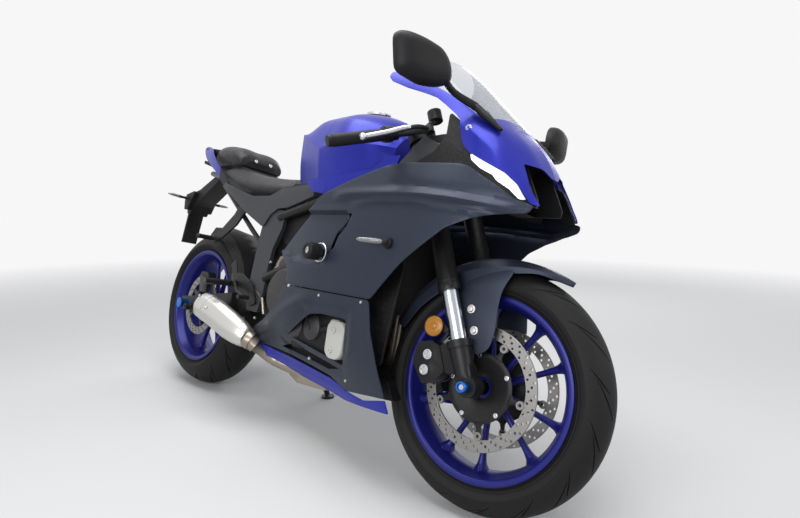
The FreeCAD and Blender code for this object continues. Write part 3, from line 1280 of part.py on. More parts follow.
def intake_room():
    """The dark opening in the nose, between the two cheeks."""
    points = [Vector(1300, -56, 700), Vector(1300, -60, 790), Vector(1300, -30, 846), Vector(1300, 30, 846),
              Vector(1300, 60, 790), Vector(1300, 56, 700)]
    points = [spot(point.x, point.y, point.z) for point in points]
    return flat_plate(points, Vector(300, 0, 0), 8)


def build_front_cowl():
    """Nose cowl with long points beside the screen and a central intake."""
    half = nose_skin(size("panel_thickness")).common(window(COWL_OUTLINE, radius=3))
    half = largest(half)
    ridge = side_plate(((1374, 953), (1386, 951), (1452, 884), (1502, 800), (1526, 744), (1520, 742),
                        (1497, 797),
                        (1447, 880), (1381, 946)), -7, 7)
    shape = joined([half, other_side(half), ridge]).cut(intake_room())
    keep_shape("front_cowl", largest(shape), "chassis")


def build_front_lamps():
    """Slash-shaped position lamps and the single projector in the intake."""
    slash = largest(nose_skin(size("panel_thickness")).common(window(LAMP_OUTLINE, radius=2)))
    slash = largest(slash.cut(drawn("front_cowl")).cut(drawn("side_fairings")))
    barrel = rod(spot(1364, 0, 792), spot(1432, 0, 782), 34)
    lens = Part.makeSphere(46, spot(1400, 0, 786)).common(rod(spot(1432, 0, 782), spot(1470, 0, 776), 32))
    keep_shape("front_lamps", Part.makeCompound([slash, other_side(slash), joined([barrel, lens])]),
               "chassis")


SCREEN_ARCS = ((1390, 60, 938, 950), (1300, 118, 968, 1036), (1200, 142, 1026, 1126), (1120, 152, 1072,
                                                                1182),
               (1030, 156, 1108, 1220))
SCREEN_OUTLINE = ((1034, 1098), (1150, 1168), (1166, 1168), (1292, 1042), (1400, 949), (1376, 937), (1320,
                                                                958), (1243, 1012))


def build_windscreen():
    """Bubble screen: a thin double-curved sheet through arcs, trimmed in side view."""
    wall = size("screen_thickness")
    wires = []
    for x, half, edge, crown in SCREEN_ARCS:
        outer = Part.Arc(spot(x, -half, edge), spot(x, 0, crown), spot(x, half, edge)).toShape()
        inner = Part.Arc(spot(x, half - wall, edge - wall), spot(x, 0, crown - wall),
                         spot(x, wall - half, edge - wall)).toShape()
        wires.append(Part.Wire([outer, Part.makeLine(spot(x, half, edge), spot(x, half - wall,
                                                                edge - wall)), inner,
                                Part.makeLine(spot(x, wall - half, edge - wall), spot(x, -half, edge))]))
    sheet_shape = Part.makeLoft(wires, True, False).common(window(SCREEN_OUTLINE, radius=4))
    keep_shape("windscreen", largest(sheet_shape.cut(drawn("front_cowl"))), "chassis")


def build_cockpit():
    """Dark inner panels beside the forks, the nose duct, the nose stay and the instrument panel."""
    outline = [(1150, 824), (1235, 862), (1262, 900), (1256, 966), (1290, 942), (1310, 904), (1322, 872),
               (1345, 850),
               (1400, 790), (1380, 740), (1300, 760), (1180, 790)]
    inner = skin(((1130, ((148, 960), (160, 860), (166, 740))), (1240, ((150, 1010), (166, 880), (174,
                                                                740))),
                  (1330, ((136, 960), (160, 850), (166, 740))), (1420, ((100, 880), (126, 800), (130,
                                                                740)))), 3)
    inner = largest(inner.common(window(outline, radius=5)))
    duct = side_plate([(1352, 742), (1360, 850), (1400, 880), (1440, 850), (1486, 760), (1486, 742)], -64,
                      64, 6)
    duct = duct.cut(side_plate([(1372, 748), (1376, 842), (1404, 862), (1500, 850), (1500, 700), (1400,
                                                                748)], -58, 58, 4))
    rear_block = side_plate([(1330, 750), (1330, 858), (1362, 858), (1362, 750)], -62, 62, 6)
    head_stays = [rod(head_spot(size("head_tube_radius"), side * 22, 585), spot(1336, side * 30, 822), 9)
                  for side in (-1, 1)]
    dial_stays = [pipe([spot(1340, side * 30, 846), spot(1268, side * 30, 990), spot(1228, side * 30,
                                                                1034)], 6, 30)
                  for side in (-1, 1)]
    arms = [rod(spot(x, side * 60, z), spot(x + 4, side * 200, z), 6)
            for side in (-1, 1) for x, z in ((1346, 796), (1418, 797))]
    crown_post = rod(spot(1400, 0, 872), spot(1404, 0, 950), 7)
    dial = flat_plate([spot(1180, -52, 1000), spot(1180, 52, 1000), spot(1210, 52, 1068), spot(1210, -52,
                                                                1068)],
                      Vector(24, 0, -11), 12)
    shape = joined([inner, other_side(inner), duct, dial, rear_block,
                    crown_post] + head_stays + dial_stays + arms)
    shape = shape.cut(drawn("main_frame"))
    for label in ("front_cowl", "windscreen", "front_lamps", "side_fairings"):
        shape = shape.cut(drawn(label))
    keep_shape("cockpit", largest(shape), "chassis")


# Mirror head: its outline as (outward, up) from the middle, and its shells as (depth from the glass, share)
MIRROR_OUTLINE = ((87, 24), (66, -60), (0, -60), (-50, -40), (-80, -22), (-66, 24), (-36, 43), (19, 43))
MIRROR_SHELLS = ((0, 0.97), (8, 1.0), (24, 0.9), (36, 0.62))
MIRROR_YAW, MIRROR_ROLL = 15, 8


def build_mirrors():
    """Mirrors on slender stems from boots at the foot of the screen."""
    head_place = Placement(spot(1283, 308, 1028), Rotation(Vector(1, 0, 0), MIRROR_ROLL) *
                           Rotation(Vector(0, 0, 1), MIRROR_YAW))
    wires = [rounded_wire([Vector(depth, out * share, up * share) for out, up in MIRROR_OUTLINE],
                          [14] * len(MIRROR_OUTLINE), True) for depth, share in MIRROR_SHELLS]
    head = Part.makeLoft(wires, True, False)
    head.Placement = head_place
    neck = head_place.multVec(Vector(13, -58, -14))
    stem_foot = spot(1328, 141, 972)
    stem = rod(stem_foot, neck, 8)
    boot = Part.makeCone(12, 17, 84, stem_foot, spot(1392, 128, 916) - stem_foot)
    shape = joined([head, stem, Part.makeSphere(12, stem_foot), boot])
    for label in ("front_cowl", "windscreen", "cockpit"):
        shape = shape.cut(drawn(label))
    keep_shape("mirrors", both_sides(largest(shape)), "chassis")


# Small chassis fittings
def build_footrest_plates():
    """Footrest hangers with pegs, heel guards, the brake pedal and the gear pedal."""
    base = size("brace_inner") + size("brace_thickness")
    plate = side_plate([(318, 470), (380, 474), (470, 440), (505, 380), (470, 366), (410, 392), (352, 424),
                        (320, 440)],
                       base + 2, base + 9, 8)
    bosses = [rod(spot(x, base, z), spot(x, base + 3, z), 9) for x, z in ((468, 418), (486, 384))]
    peg = rod(spot(345, base + 4, 432), spot(332, 246, 428), 11)
    guard = side_plate([(296, 500), (330, 520), (352, 470), (330, 460)], base + 4, base + 7, 8)
    pedal = pipe([spot(352, base + 12, 440), spot(420, 168, 412), spot(500, 176, 396)], 6, 30)
    toe = rod(spot(500, 168, 396), spot(500, 208, 396), 8)
    left = joined([plate, guard, peg, pedal, toe] + bosses)
    right = other_side(left)
    shape = Part.makeCompound([left, right])
    for label in ("muffler", "lower_fairings", "engine"):
        shape = shape.cut(drawn(label))
    solids = sorted(shape.Solids, key=lambda solid: -solid.Volume)[:2]
    keep_shape("footrest_plates", Part.makeCompound(solids), "chassis")


def build_coolant_reservoir():
    """Pale coolant bottle, seen through the right-hand opening."""
    bottle = side_plate([(928, 388), (975, 392), (1000, 372), (998, 288), (955, 276), (925, 300)], -152,
                        -116, 12)
    shape = bottle.cut(drawn("engine")).cut(drawn("lower_fairings")).cut(drawn("radiator"))
    strap = rod(spot(940, -118, 340), spot(930, -90, 340), 8)
    shape = largest(joined([largest(shape), strap]).cut(drawn("engine")))
    keep_shape("coolant_reservoir", shape, "chassis")


def build_frame_sliders():
    """Crash bobbins that stand out through the side fairings."""
    bolt = rod(spot(905, 88, 572), spot(905, 220, 572), 9)
    bobbin = rod(spot(905, 218, 572), spot(905, 262, 572), 24)
    bobbin = bobbin.makeFillet(6, [edge for edge in bobbin.Edges if edge.CenterOfMass.y > 261])
    dimple = rod(spot(905, 254, 572), spot(905, 262, 572), 13)
    slider = joined([bolt, bobbin]).cut(dimple)
    for label in ("main_frame", "engine"):
        slider = slider.cut(drawn(label))
    slider = largest(slider)
    keep_shape("frame_sliders", both_sides(slider), "chassis")


def build_hugger():
    """Short inner fender over the front of the rear tyre."""
    inner = size("rear_tyre_radius") + 14
    half = size("rear_tyre_width") / 2 - 6
    line = [(-half, inner - 40), (-half + 16, inner - 6), (0, inner + 4), (half - 16, inner - 6), (half,
                                                                inner - 40)]
    outer = offset_line(line, -3)
    corners = [Vector(z, y, 0) for y, z in line] + [Vector(z, y, 0) for y, z in reversed(outer)]
    section = Part.Face(Part.makePolygon(corners + corners[:1]))
    section.rotate(Vector(), Vector(0, 1, 0), -24)
    arch = section.revolve(Vector(), Vector(0, 1, 0), -66)
    arch.translate(rear_axle)
    peg = rod(spot(298, 60, 450), spot(360, 60, 394), 8)
    shape = joined([arch, peg, other_side(peg)])
    for label in ("swingarm", "rear_shock", "chain", "subframe"):
        shape = shape.cut(drawn(label))
    keep_shape("hugger", largest(shape), "chassis")


# Every sub-part in the order in which neighbours are cut against each other
build_tyre("front_tyre", "front_wheel", "front")
build_tyre("rear_tyre", "rear_wheel", "rear")
build_rim("front_rim", "front_wheel", "front")
build_rim("rear_rim", "rear_wheel", "rear")
build_front_discs()
build_rear_disc()
build_rear_sprocket()
for build in (build_fork_tubes, build_fork_sliders, build_fork_feet, build_triple_clamps, build_handlebars,
              build_hand_controls, build_front_fender, build_front_calipers, build_front_axle,
              build_fork_reflectors):
    build()
build_main_frame()
for build in (build_centre_braces, build_subframe, build_engine, build_chain, build_swingarm,
              build_rear_axle,
              build_rear_shock, build_rear_caliper, build_radiator, build_exhaust_pipes, build_muffler,
              build_side_stand, build_fuel_tank, build_filler_lid, build_tank_side_covers, build_rider_seat,
              build_pillion_seat, build_seat_side_covers, build_tail_cowl, build_tail_lamp,
              build_plate_holder,
              build_side_fairings, build_indicators, build_lower_fairings, build_belly_pan,
              build_front_cowl, build_front_lamps, build_windscreen, build_cockpit, build_mirrors,
              build_footrest_plates, build_coolant_reservoir, build_frame_sliders, build_hugger):
    build()
doc.recompute()

# Put the origin on the ground under the middle of the whole bike
ORIGIN_TOLERANCE = 0.3
box = FreeCAD.BoundBox()
for piece in pieces:
    for corner in piece.Shape.tessellate(ORIGIN_TOLERANCE)[0]:
        box.add(corner)
shift = Placement(Vector(-(box.XMin + box.XMax) / 2, -(box.YMin + box.YMax) / 2, -box.ZMin), Rotation())
for piece in pieces:
    piece.Placement = shift.multiply(piece.Placement)
doc.recompute()

for thing in doc.Objects:
    if "Invalid" in thing.State or "Error" in thing.State:
        raise RuntimeError("%s did not build: %s" % (thing.Label, thing.State))
for piece in pieces:
    if piece.Shape.isNull() or not piece.Shape.isValid():
        raise RuntimeError("%s has no valid solid" % piece.Label)
    piece.Shape.exportStep("parts/%s.step" % piece.Label)
print("%d sub-parts, box %.0f x %.0f x %.0f mm" % (len(pieces), box.XLength, box.YLength, box.ZLength))
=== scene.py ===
# %% [markdown]
# # A sport bike on its side stand
# This lesson dresses that model. Some CAD solids only get a finish, and others are stood in for by finer
# pieces.
# %% Load the CAD frame
import json
import math

import bpy
from mathutils import Matrix, Vector


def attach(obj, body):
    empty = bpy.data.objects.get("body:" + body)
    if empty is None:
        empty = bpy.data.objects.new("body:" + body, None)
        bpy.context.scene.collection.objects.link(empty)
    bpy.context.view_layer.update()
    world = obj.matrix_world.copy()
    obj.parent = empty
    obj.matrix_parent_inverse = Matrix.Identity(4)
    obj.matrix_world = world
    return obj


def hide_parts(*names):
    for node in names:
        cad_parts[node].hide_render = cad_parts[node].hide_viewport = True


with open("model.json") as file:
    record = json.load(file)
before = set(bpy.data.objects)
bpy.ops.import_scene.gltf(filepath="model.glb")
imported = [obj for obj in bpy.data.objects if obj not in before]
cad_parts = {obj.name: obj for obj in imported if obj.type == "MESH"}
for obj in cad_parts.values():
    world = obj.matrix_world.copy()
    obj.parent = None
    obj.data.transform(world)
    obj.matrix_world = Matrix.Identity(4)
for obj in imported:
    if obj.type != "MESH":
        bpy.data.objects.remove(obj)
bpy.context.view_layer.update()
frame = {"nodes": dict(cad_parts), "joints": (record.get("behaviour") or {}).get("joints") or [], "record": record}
nodes = frame["nodes"]
bodies = frame["record"]["behaviour"]["bodies"]
BODY_OF_NODE = {label: body for body, labels in bodies.items() for label in labels}

# %% [markdown]
# ## Four drawing boards
# The bike leans on its stand and its bars are turned, so nothing is square to the world. Drawing each piece
# upright is far easier: x forward, y to the left, z up, from the ground below the rear axle. The joints of
# the CAD model say how the bike leans, so a matrix for each board carries a finished piece to its place.
# %% Work out the boards from the joints
joints = {joint["name"]: joint for joint in frame["joints"]}
RAKE = math.radians(23.7)
FORK_OFFSET = 0.038
REAR_RADIUS, FRONT_RADIUS = 0.315, 0.300


def unit(values):
    return Vector(values).normalized()


def board(forward, left, up, origin):
    turn = Matrix((forward, left, up)).transposed().to_4x4()
    return Matrix.Translation(origin) @ turn


left = unit(joints["rear_wheel_spin"]["axis"])
steer_up = unit(joints["steering_turn"]["axis"])
steer_forward = left.cross(steer_up).normalized()
forward = math.cos(RAKE) * steer_forward - math.sin(RAKE) * steer_up
up = math.sin(RAKE) * steer_forward + math.cos(RAKE) * steer_up
rear_axle = Vector(joints["rear_wheel_spin"]["pos_m"])
front_axle = Vector(joints["front_wheel_spin"]["pos_m"])
CHASSIS = board(forward, left, up, rear_axle - up * REAR_RADIUS)
REAR = board(forward, left, up, rear_axle)
wheel_left = unit(joints["front_wheel_spin"]["axis"])
turned_forward = wheel_left.cross(steer_up).normalized()
FORK = board(turned_forward, wheel_left, steer_up, front_axle - turned_forward * FORK_OFFSET)
FRONT = board(turned_forward, wheel_left, steer_up, front_axle)
print("lean %.2f degrees" % math.degrees(math.acos(up.z)))

# %% [markdown]
# ## The camera
# The photographer stood ahead of the bike, on its right, with a wide lens at waist height.
# The place and the angles were worked out once from the wheels' outlines, and are kept from the rear axle.
# %% Place the camera
PICTURE_WIDTH = 800
FOCAL_PIXELS = 550.48
SENSOR = 36.0
camera_data = bpy.data.cameras.new("camera")
camera_data.sensor_width = SENSOR
camera_data.lens = FOCAL_PIXELS / PICTURE_WIDTH * SENSOR
camera = bpy.data.objects.new("camera", camera_data)
bpy.context.scene.collection.objects.link(camera)
CAMERA_FROM_REAR_AXLE = Vector((2.1552, -1.1123, 0.4386))
VIEW_YAW, VIEW_PITCH, VIEW_ROLL = math.radians(134.106), math.radians(-5.860), math.radians(0.166)
look = Vector((math.cos(VIEW_PITCH) * math.cos(VIEW_YAW), math.cos(VIEW_PITCH) * math.sin(VIEW_YAW),
               math.sin(VIEW_PITCH)))
tilt = look.to_track_quat("-Z", "Y").to_matrix().to_4x4() @ Matrix.Rotation(VIEW_ROLL, 4, "Z")
camera.matrix_world = Matrix.Translation(rear_axle + CAMERA_FROM_REAR_AXLE) @ tilt
bpy.context.scene.camera = camera
print("camera at", [round(v, 3) for v in camera.location], "lens %.1f mm" % camera_data.lens)

# %% [markdown]
# ## Helpers for modelling
# Most operators act on whatever is selected, so each step starts by clearing the selection. A finished
# piece gets its place baked into its mesh and rides on a body of the CAD model.
# %% Selection and finishing helpers
def clear_selection():
    bpy.ops.object.select_all(action="DESELECT")


def activate(piece):
    clear_selection()
    piece.select_set(True)
    bpy.context.view_layer.objects.active = piece


def bake_modifiers(piece):
    activate(piece)
    for modifier in list(piece.modifiers):
        bpy.ops.object.modifier_apply(modifier=modifier.name)


def smooth_all(piece, angle=38):
    """Shade a piece smooth, apart from the edges that are sharper than the angle in degrees."""
    activate(piece)
    bpy.ops.object.shade_smooth_by_angle(angle=math.radians(angle))


def twin_of(piece):
    """A copy of a piece with its own mesh."""
    twin = piece.copy()
    twin.data = piece.data.copy()
    bpy.context.scene.collection.objects.link(twin)
    return twin


def full_turn(steps):
    """Angles spaced evenly round a full turn."""
    return [2 * math.pi * step / steps for step in range(steps)]


def hand_over(piece, name, label, material, stands_for=()):
    """Name a placed piece, give it its finish, and let it ride with a CAD node."""
    piece.name = name
    piece.data.materials.clear()
    piece.data.materials.append(material)
    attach(piece, BODY_OF_NODE[label])
    if stands_for:
        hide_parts(*stands_for)


def install(piece, board_matrix, name, label, material, stands_for=()):
    """Move a piece from its drawing board to its place on the bike, then hand it over."""
    piece.matrix_world = board_matrix @ piece.matrix_world
    activate(piece)
    bpy.ops.object.transform_apply(location=True, rotation=True, scale=True)
    hand_over(piece, name, label, material, stands_for)

# %% [markdown]
# ## Shared effects
# Several finishes need the same few effects: soft dust and scuffs, metal flake, and a pebbled grain.
# Each is a node group with named inputs, so every material can use it at its own scale and strength.
# %% Node group helpers
def start_group(name, inputs, outputs):
    """A shader node group: inputs are (name, default number), outputs are (name, socket kind)."""
    tree = bpy.data.node_groups.new(name, "ShaderNodeTree")
    for label, value in inputs:
        socket = tree.interface.new_socket(name=label, in_out="INPUT", socket_type="NodeSocketFloat")
        socket.default_value = value
    for label, kind in outputs:
        tree.interface.new_socket(name=label, in_out="OUTPUT", socket_type=kind)
    return tree, tree.nodes.new("NodeGroupInput"), tree.nodes.new("NodeGroupOutput")


def noise(tree, detail=4.0, roughness=0.55):
    node = tree.nodes.new("ShaderNodeTexNoise")
    node.inputs["Detail"].default_value = detail
    node.inputs["Roughness"].default_value = roughness
    return node


def remap(tree, low, high, to_low=0.0, to_high=1.0):
    node = tree.nodes.new("ShaderNodeMapRange")
    for label, value in (("From Min", low), ("From Max", high), ("To Min", to_low), ("To Max", to_high)):
        node.inputs[label].default_value = value
    return node

# %% Build the dust and scuff group
def build_wear_group():
    """Mask: large soft patches times fine specks, from 0 (clean) to 1."""
    tree, start, end = start_group("dust and scuffs", (("Patch scale", 4.0), ("Speck scale", 90.0)),
                                   (("Mask", "NodeSocketFloat"), ("Height", "NodeSocketFloat")))
    place = tree.nodes.new("ShaderNodeTexCoord")
    patches, specks = noise(tree, 3.0), noise(tree, 6.0, 0.7)
    wide, narrow = remap(tree, 0.42, 0.72), remap(tree, 0.45, 0.75)
    product = tree.nodes.new("ShaderNodeMath")
    product.operation = "MULTIPLY"
    link = tree.links.new
    link(place.outputs["Object"], patches.inputs["Vector"])
    link(place.outputs["Object"], specks.inputs["Vector"])
    link(start.outputs["Patch scale"], patches.inputs["Scale"])
    link(start.outputs["Speck scale"], specks.inputs["Scale"])
    link(patches.outputs["Fac"], wide.inputs["Value"])
    link(specks.outputs["Fac"], narrow.inputs["Value"])
    link(wide.outputs["Result"], product.inputs[0])
    link(narrow.outputs["Result"], product.inputs[1])
    link(product.outputs["Value"], end.inputs["Mask"])
    link(specks.outputs["Fac"], end.inputs["Height"])
    return tree


WEAR = build_wear_group()

# %% Build the flake group
def build_flake_group():
    """Metal flake: a value for each tiny cell, for paint that glitters a little."""
    tree, start, end = start_group("metal flake", (("Scale", 1800.0),), (("Value", "NodeSocketFloat"),))
    place = tree.nodes.new("ShaderNodeTexCoord")
    cells = tree.nodes.new("ShaderNodeTexVoronoi")
    split = tree.nodes.new("ShaderNodeSeparateColor")
    tree.links.new(place.outputs["Object"], cells.inputs["Vector"])
    tree.links.new(start.outputs["Scale"], cells.inputs["Scale"])
    tree.links.new(cells.outputs["Color"], split.inputs["Color"])
    tree.links.new(split.outputs["Red"], end.inputs["Value"])
    return tree


FLAKE = build_flake_group()

# %% Build the grain group
def build_grain_group():
    """Pebbled grain of moulded plastic or vinyl: height of rounded cells."""
    tree, start, end = start_group("pebble grain", (("Scale", 700.0),), (("Height", "NodeSocketFloat"),))
    place = tree.nodes.new("ShaderNodeTexCoord")
    cells = tree.nodes.new("ShaderNodeTexVoronoi")
    cells.feature = "SMOOTH_F1"
    tree.links.new(place.outputs["Object"], cells.inputs["Vector"])
    tree.links.new(start.outputs["Scale"], cells.inputs["Scale"])
    tree.links.new(cells.outputs["Distance"], end.inputs["Height"])
    return tree


GRAIN = build_grain_group()

# %% [markdown]
# ## Finishes
# Each finish is one material. A recipe function sets the plain numbers on the shader, then adds the effects:
# dust lightens and roughens, flake lifts the paint, pebbles or grit go into the bump.
# A colour mix node names its sockets alike for every kind of data, so they are picked by number.
# %% Recipe for a finish
MIX_FACTOR, MIX_UNDER, MIX_OVER, MIX_RESULT = 0, 6, 7, 2
PLASTIC_IOR = 1.45
SPECK_SCALE = 140.0
BUMP_DISTANCE = 0.0006
FLAKE_GAIN, FLAKE_LIFT = 2.2, 0.02
PALE_DUST, TYRE_DUST = (0.32, 0.31, 0.29), (0.06, 0.06, 0.056)


def use_group(tree, group, label="", value=0.0):
    """A node that uses a shared group, with one of its inputs set."""
    node = tree.nodes.new("ShaderNodeGroup")
    node.node_tree = group
    if label:
        node.inputs[label].default_value = value
    return node


def lay_over(tree, mask, strength, colour, blend="MIX"):
    """A colour mix whose upper colour shows as far as a mask and a strength say."""
    amount = tree.nodes.new("ShaderNodeMath")
    amount.operation = "MULTIPLY"
    amount.inputs[1].default_value = strength
    mix = tree.nodes.new("ShaderNodeMix")
    mix.data_type = "RGBA"
    mix.blend_type = blend
    mix.inputs[MIX_OVER].default_value = (*colour, 1.0)
    tree.links.new(mask, amount.inputs[0])
    tree.links.new(amount.outputs["Value"], mix.inputs[MIX_FACTOR])
    return mix


def relief_height(tree, kind, scale):
    """The height that a bump follows: moulded pebbles or fine grit."""
    if kind == "pebbles":
        return use_group(tree, GRAIN, "Scale", scale).outputs["Height"]
    grit = noise(tree, 5.0)
    grit.inputs["Scale"].default_value = scale
    place = tree.nodes.new("ShaderNodeTexCoord")
    tree.links.new(place.outputs["Object"], grit.inputs["Vector"])
    return grit.outputs["Fac"]


def finish(name, colour, roughness, metallic=0.0, specular=0.5, coat=0.0, coat_roughness=0.05, sheen=0.0,
           alpha=1.0, dust=0.1, dust_colour=PALE_DUST, rough_spread=0.12, flake=0.0, bump=0.0,
           bump_scale=500.0, bump_kind="grit", emission=None):
    """One material: plain shader numbers first, then dust, flake, roughness, relief and light."""
    material = bpy.data.materials.new(name)
    material.use_nodes = True
    tree = material.node_tree
    link = tree.links.new
    shader = tree.nodes["Principled BSDF"]
    plain = {"Metallic": metallic, "Specular IOR Level": specular, "Coat Weight": coat, "IOR": PLASTIC_IOR,
             "Coat Roughness": coat_roughness, "Sheen Weight": sheen, "Alpha": alpha}
    for label, value in plain.items():
        shader.inputs[label].default_value = value
    wear = use_group(tree, WEAR, "Speck scale", SPECK_SCALE)
    top = lay_over(tree, wear.outputs["Mask"], dust, dust_colour)
    top.inputs[MIX_UNDER].default_value = (*colour, 1.0)
    if flake:
        under, sparkle = top, use_group(tree, FLAKE)
        bright = [min(1.0, channel * FLAKE_GAIN + FLAKE_LIFT) for channel in colour]
        top = lay_over(tree, sparkle.outputs["Value"], flake, bright, "SCREEN")
        link(under.outputs[MIX_RESULT], top.inputs[MIX_UNDER])
    link(top.outputs[MIX_RESULT], shader.inputs["Base Color"])
    rough = remap(tree, 0.0, 1.0, roughness, min(1.0, roughness + rough_spread))
    link(wear.outputs["Mask"], rough.inputs["Value"])
    link(rough.outputs["Result"], shader.inputs["Roughness"])
    if bump:
        relief = tree.nodes.new("ShaderNodeBump")
        relief.inputs["Strength"].default_value = bump
        relief.inputs["Distance"].default_value = BUMP_DISTANCE
        link(relief_height(tree, bump_kind, bump_scale), relief.inputs["Height"])
        link(relief.outputs["Normal"], shader.inputs["Normal"])
    if emission:
        light_colour, strength = emission
        shader.inputs["Emission Color"].default_value = (*light_colour, 1.0)
        shader.inputs["Emission Strength"].default_value = strength
    return material

# %% Mix the paints and the other finishes
PAINT_BLUE = finish("royal blue paint", (0.009, 0.013, 0.235), 0.34, metallic=0.4, coat=0.12, flake=0.3,
                    dust=0.03, coat_roughness=0.14, specular=0.25)
# The wheel blue is darker than the body's blue as painted shade: it stands in for the shadow on the rims and their
# barrels.
SHADED_WHEEL_BLUE = finish("blue wheel paint with painted shade", (0.008, 0.010, 0.15), 0.4, metallic=0.35, coat=0.15, dust=0.06,
                    coat_roughness=0.2, specular=0.35)
FAIRING_DARK = finish("dark satin paint", (0.017, 0.022, 0.037), 0.40, metallic=0.55, coat=0.1, flake=0.25,
                      dust=0.04, coat_roughness=0.35, specular=0.3)
TRIM_GREY = finish("grey moulded trim", (0.030, 0.032, 0.037), 0.44, bump=0.25, bump_kind="pebbles",
                   bump_scale=1200, specular=0.3)
BLACK_PLASTIC = finish("black moulded plastic", (0.006, 0.006, 0.007), 0.48, bump=0.3, bump_kind="pebbles",
                       bump_scale=1400, specular=0.25)
BLACK_METAL = finish("black coated metal", (0.013, 0.013, 0.014), 0.36, metallic=0.3, dust=0.1, bump=0.1,
                     bump_scale=900, specular=0.3)
ENGINE_GREY = finish("cast engine grey", (0.045, 0.045, 0.047), 0.5, metallic=0.6, dust=0.25, bump=0.5,
                     bump_scale=600)
SILVER = finish("satin silver can", (0.62, 0.61, 0.58), 0.32, metallic=0.9, dust=0.08, bump=0.05)
PIPE_STEEL = finish("heat tinted steel", (0.30, 0.26, 0.21), 0.34, metallic=0.9, dust=0.25)
CHROME = finish("bright fork tube", (0.42, 0.45, 0.48), 0.24, metallic=1.0, dust=0.0, rough_spread=0.02)
DISC_STEEL = finish("ground disc steel", (0.24, 0.235, 0.225), 0.36, metallic=0.95, dust=0.1, bump=0.08,
                    bump_scale=2500)
RUBBER = finish("tyre rubber", (0.008, 0.008, 0.0085), 0.6, dust=0.12, dust_colour=TYRE_DUST, bump=0.35,
                bump_scale=900, specular=0.25)
VINYL = finish("seat vinyl", (0.012, 0.012, 0.014), 0.42, sheen=0.05, dust=0.08, bump=0.5,
               bump_kind="pebbles", bump_scale=1100, specular=0.35)
ANODISED = finish("blue anodised metal", (0.03, 0.16, 0.55), 0.3, metallic=0.95, dust=0.05)
AMBER = finish("amber lens", (0.34, 0.13, 0.002), 0.3, coat=0.1, dust=0.03)
SMOKE_LENS = finish("smoked lens", (0.16, 0.16, 0.17), 0.12, coat=0.8, dust=0.03)
BRIGHT_METAL = finish("bright metal", (0.55, 0.56, 0.58), 0.22, metallic=0.95, dust=0.05)
LAMP_CLEAR = finish("clear lamp lens", (0.86, 0.89, 0.95), 0.08, coat=1.0, dust=0.0,
                    emission=((0.9, 0.95, 1.0), 0.8))
LAMP_RED = finish("red lamp lens", (0.32, 0.006, 0.01), 0.12, coat=1.0, dust=0.03)
SCREEN = finish("lightly smoked screen", (0.30, 0.32, 0.36), 0.04, alpha=0.32, dust=0.0, rough_spread=0.03)
BOTTLE = finish("pale bottle plastic", (0.46, 0.46, 0.42), 0.42, sheen=0.1, dust=0.15)
print("finishes:", len(bpy.data.materials))

# %% Give every CAD node its finish
NODE_FINISHES = {
    "front_tyre": RUBBER, "rear_tyre": RUBBER, "front_rim": SHADED_WHEEL_BLUE, "rear_rim": SHADED_WHEEL_BLUE,
    "front_discs": DISC_STEEL, "rear_disc": DISC_STEEL, "rear_sprocket": DISC_STEEL,
    "fork_tubes": BLACK_METAL, "fork_sliders": CHROME, "fork_feet": BLACK_METAL, "triple_clamps": BLACK_METAL,
    "handlebars": BLACK_PLASTIC, "hand_controls": BLACK_METAL, "front_fender": FAIRING_DARK,
    "front_calipers": BLACK_METAL, "front_axle": ANODISED, "fork_reflectors": AMBER,
    "main_frame": BLACK_METAL, "centre_braces": TRIM_GREY, "subframe": BLACK_METAL, "engine": ENGINE_GREY,
    "chain": PIPE_STEEL, "swingarm": BLACK_METAL, "rear_axle": ANODISED, "rear_shock": BLACK_METAL,
    "rear_caliper": BLACK_METAL, "radiator": BLACK_PLASTIC, "exhaust_pipes": PIPE_STEEL, "muffler": SILVER,
    "side_stand": BLACK_METAL, "fuel_tank": PAINT_BLUE, "filler_lid": SILVER, "tank_side_covers": PAINT_BLUE,
    "rider_seat": VINYL, "pillion_seat": VINYL, "seat_side_covers": TRIM_GREY, "tail_cowl": PAINT_BLUE,
    "tail_lamp": LAMP_RED, "plate_holder": BLACK_PLASTIC, "side_fairings": FAIRING_DARK, "indicators": AMBER,
    "lower_fairings": FAIRING_DARK, "belly_pan": PAINT_BLUE, "front_cowl": PAINT_BLUE,
    "front_lamps": LAMP_CLEAR, "windscreen": SCREEN, "cockpit": BLACK_PLASTIC, "mirrors": BLACK_PLASTIC,
    "footrest_plates": BLACK_METAL, "coolant_reservoir": BOTTLE, "frame_sliders": BLACK_PLASTIC,
    "hugger": BLACK_PLASTIC,
}
for label, piece in nodes.items():
    piece.data.materials.clear()
    piece.data.materials.append(NODE_FINISHES[label])
print("dressed nodes:", len(NODE_FINISHES))

# %% [markdown]
# ## Copies with soft edges
# The CAD solids are right in size, but their triangles are loose and every edge is knife sharp.
# A real casting has a small radius everywhere, and that thin bright line is what makes it look solid.
# So many nodes are stood in for by a merged copy with smooth shading and a small bevel, in metres below.
# A width of nothing keeps the edges, where a piece is all round tube or fine detail.
# %% Helper that softens a CAD node
CAD_SMOOTH = 32
CAD_MERGE = 0.00002


def merge_and_smooth(piece):
    activate(piece)
    bpy.ops.object.mode_set(mode="EDIT")
    bpy.ops.mesh.select_all(action="SELECT")
    bpy.ops.mesh.remove_doubles(threshold=CAD_MERGE)
    bpy.ops.mesh.tris_convert_to_quads()
    bpy.ops.object.mode_set(mode="OBJECT")
    smooth_all(piece, CAD_SMOOTH)


def add_bevel(piece, width, segments, angle):
    bevel = piece.modifiers.new("soft edges", "BEVEL")
    bevel.width = width
    bevel.segments = segments
    bevel.limit_method = "ANGLE"
    bevel.angle_limit = math.radians(angle)
    bevel.use_clamp_overlap = True
    bevel.harden_normals = False
    bake_modifiers(piece)


def round_edges(piece, width=0.0008, segments=2, angle=50):
    add_bevel(piece, width, segments, angle)
    smooth_all(piece, CAD_SMOOTH)


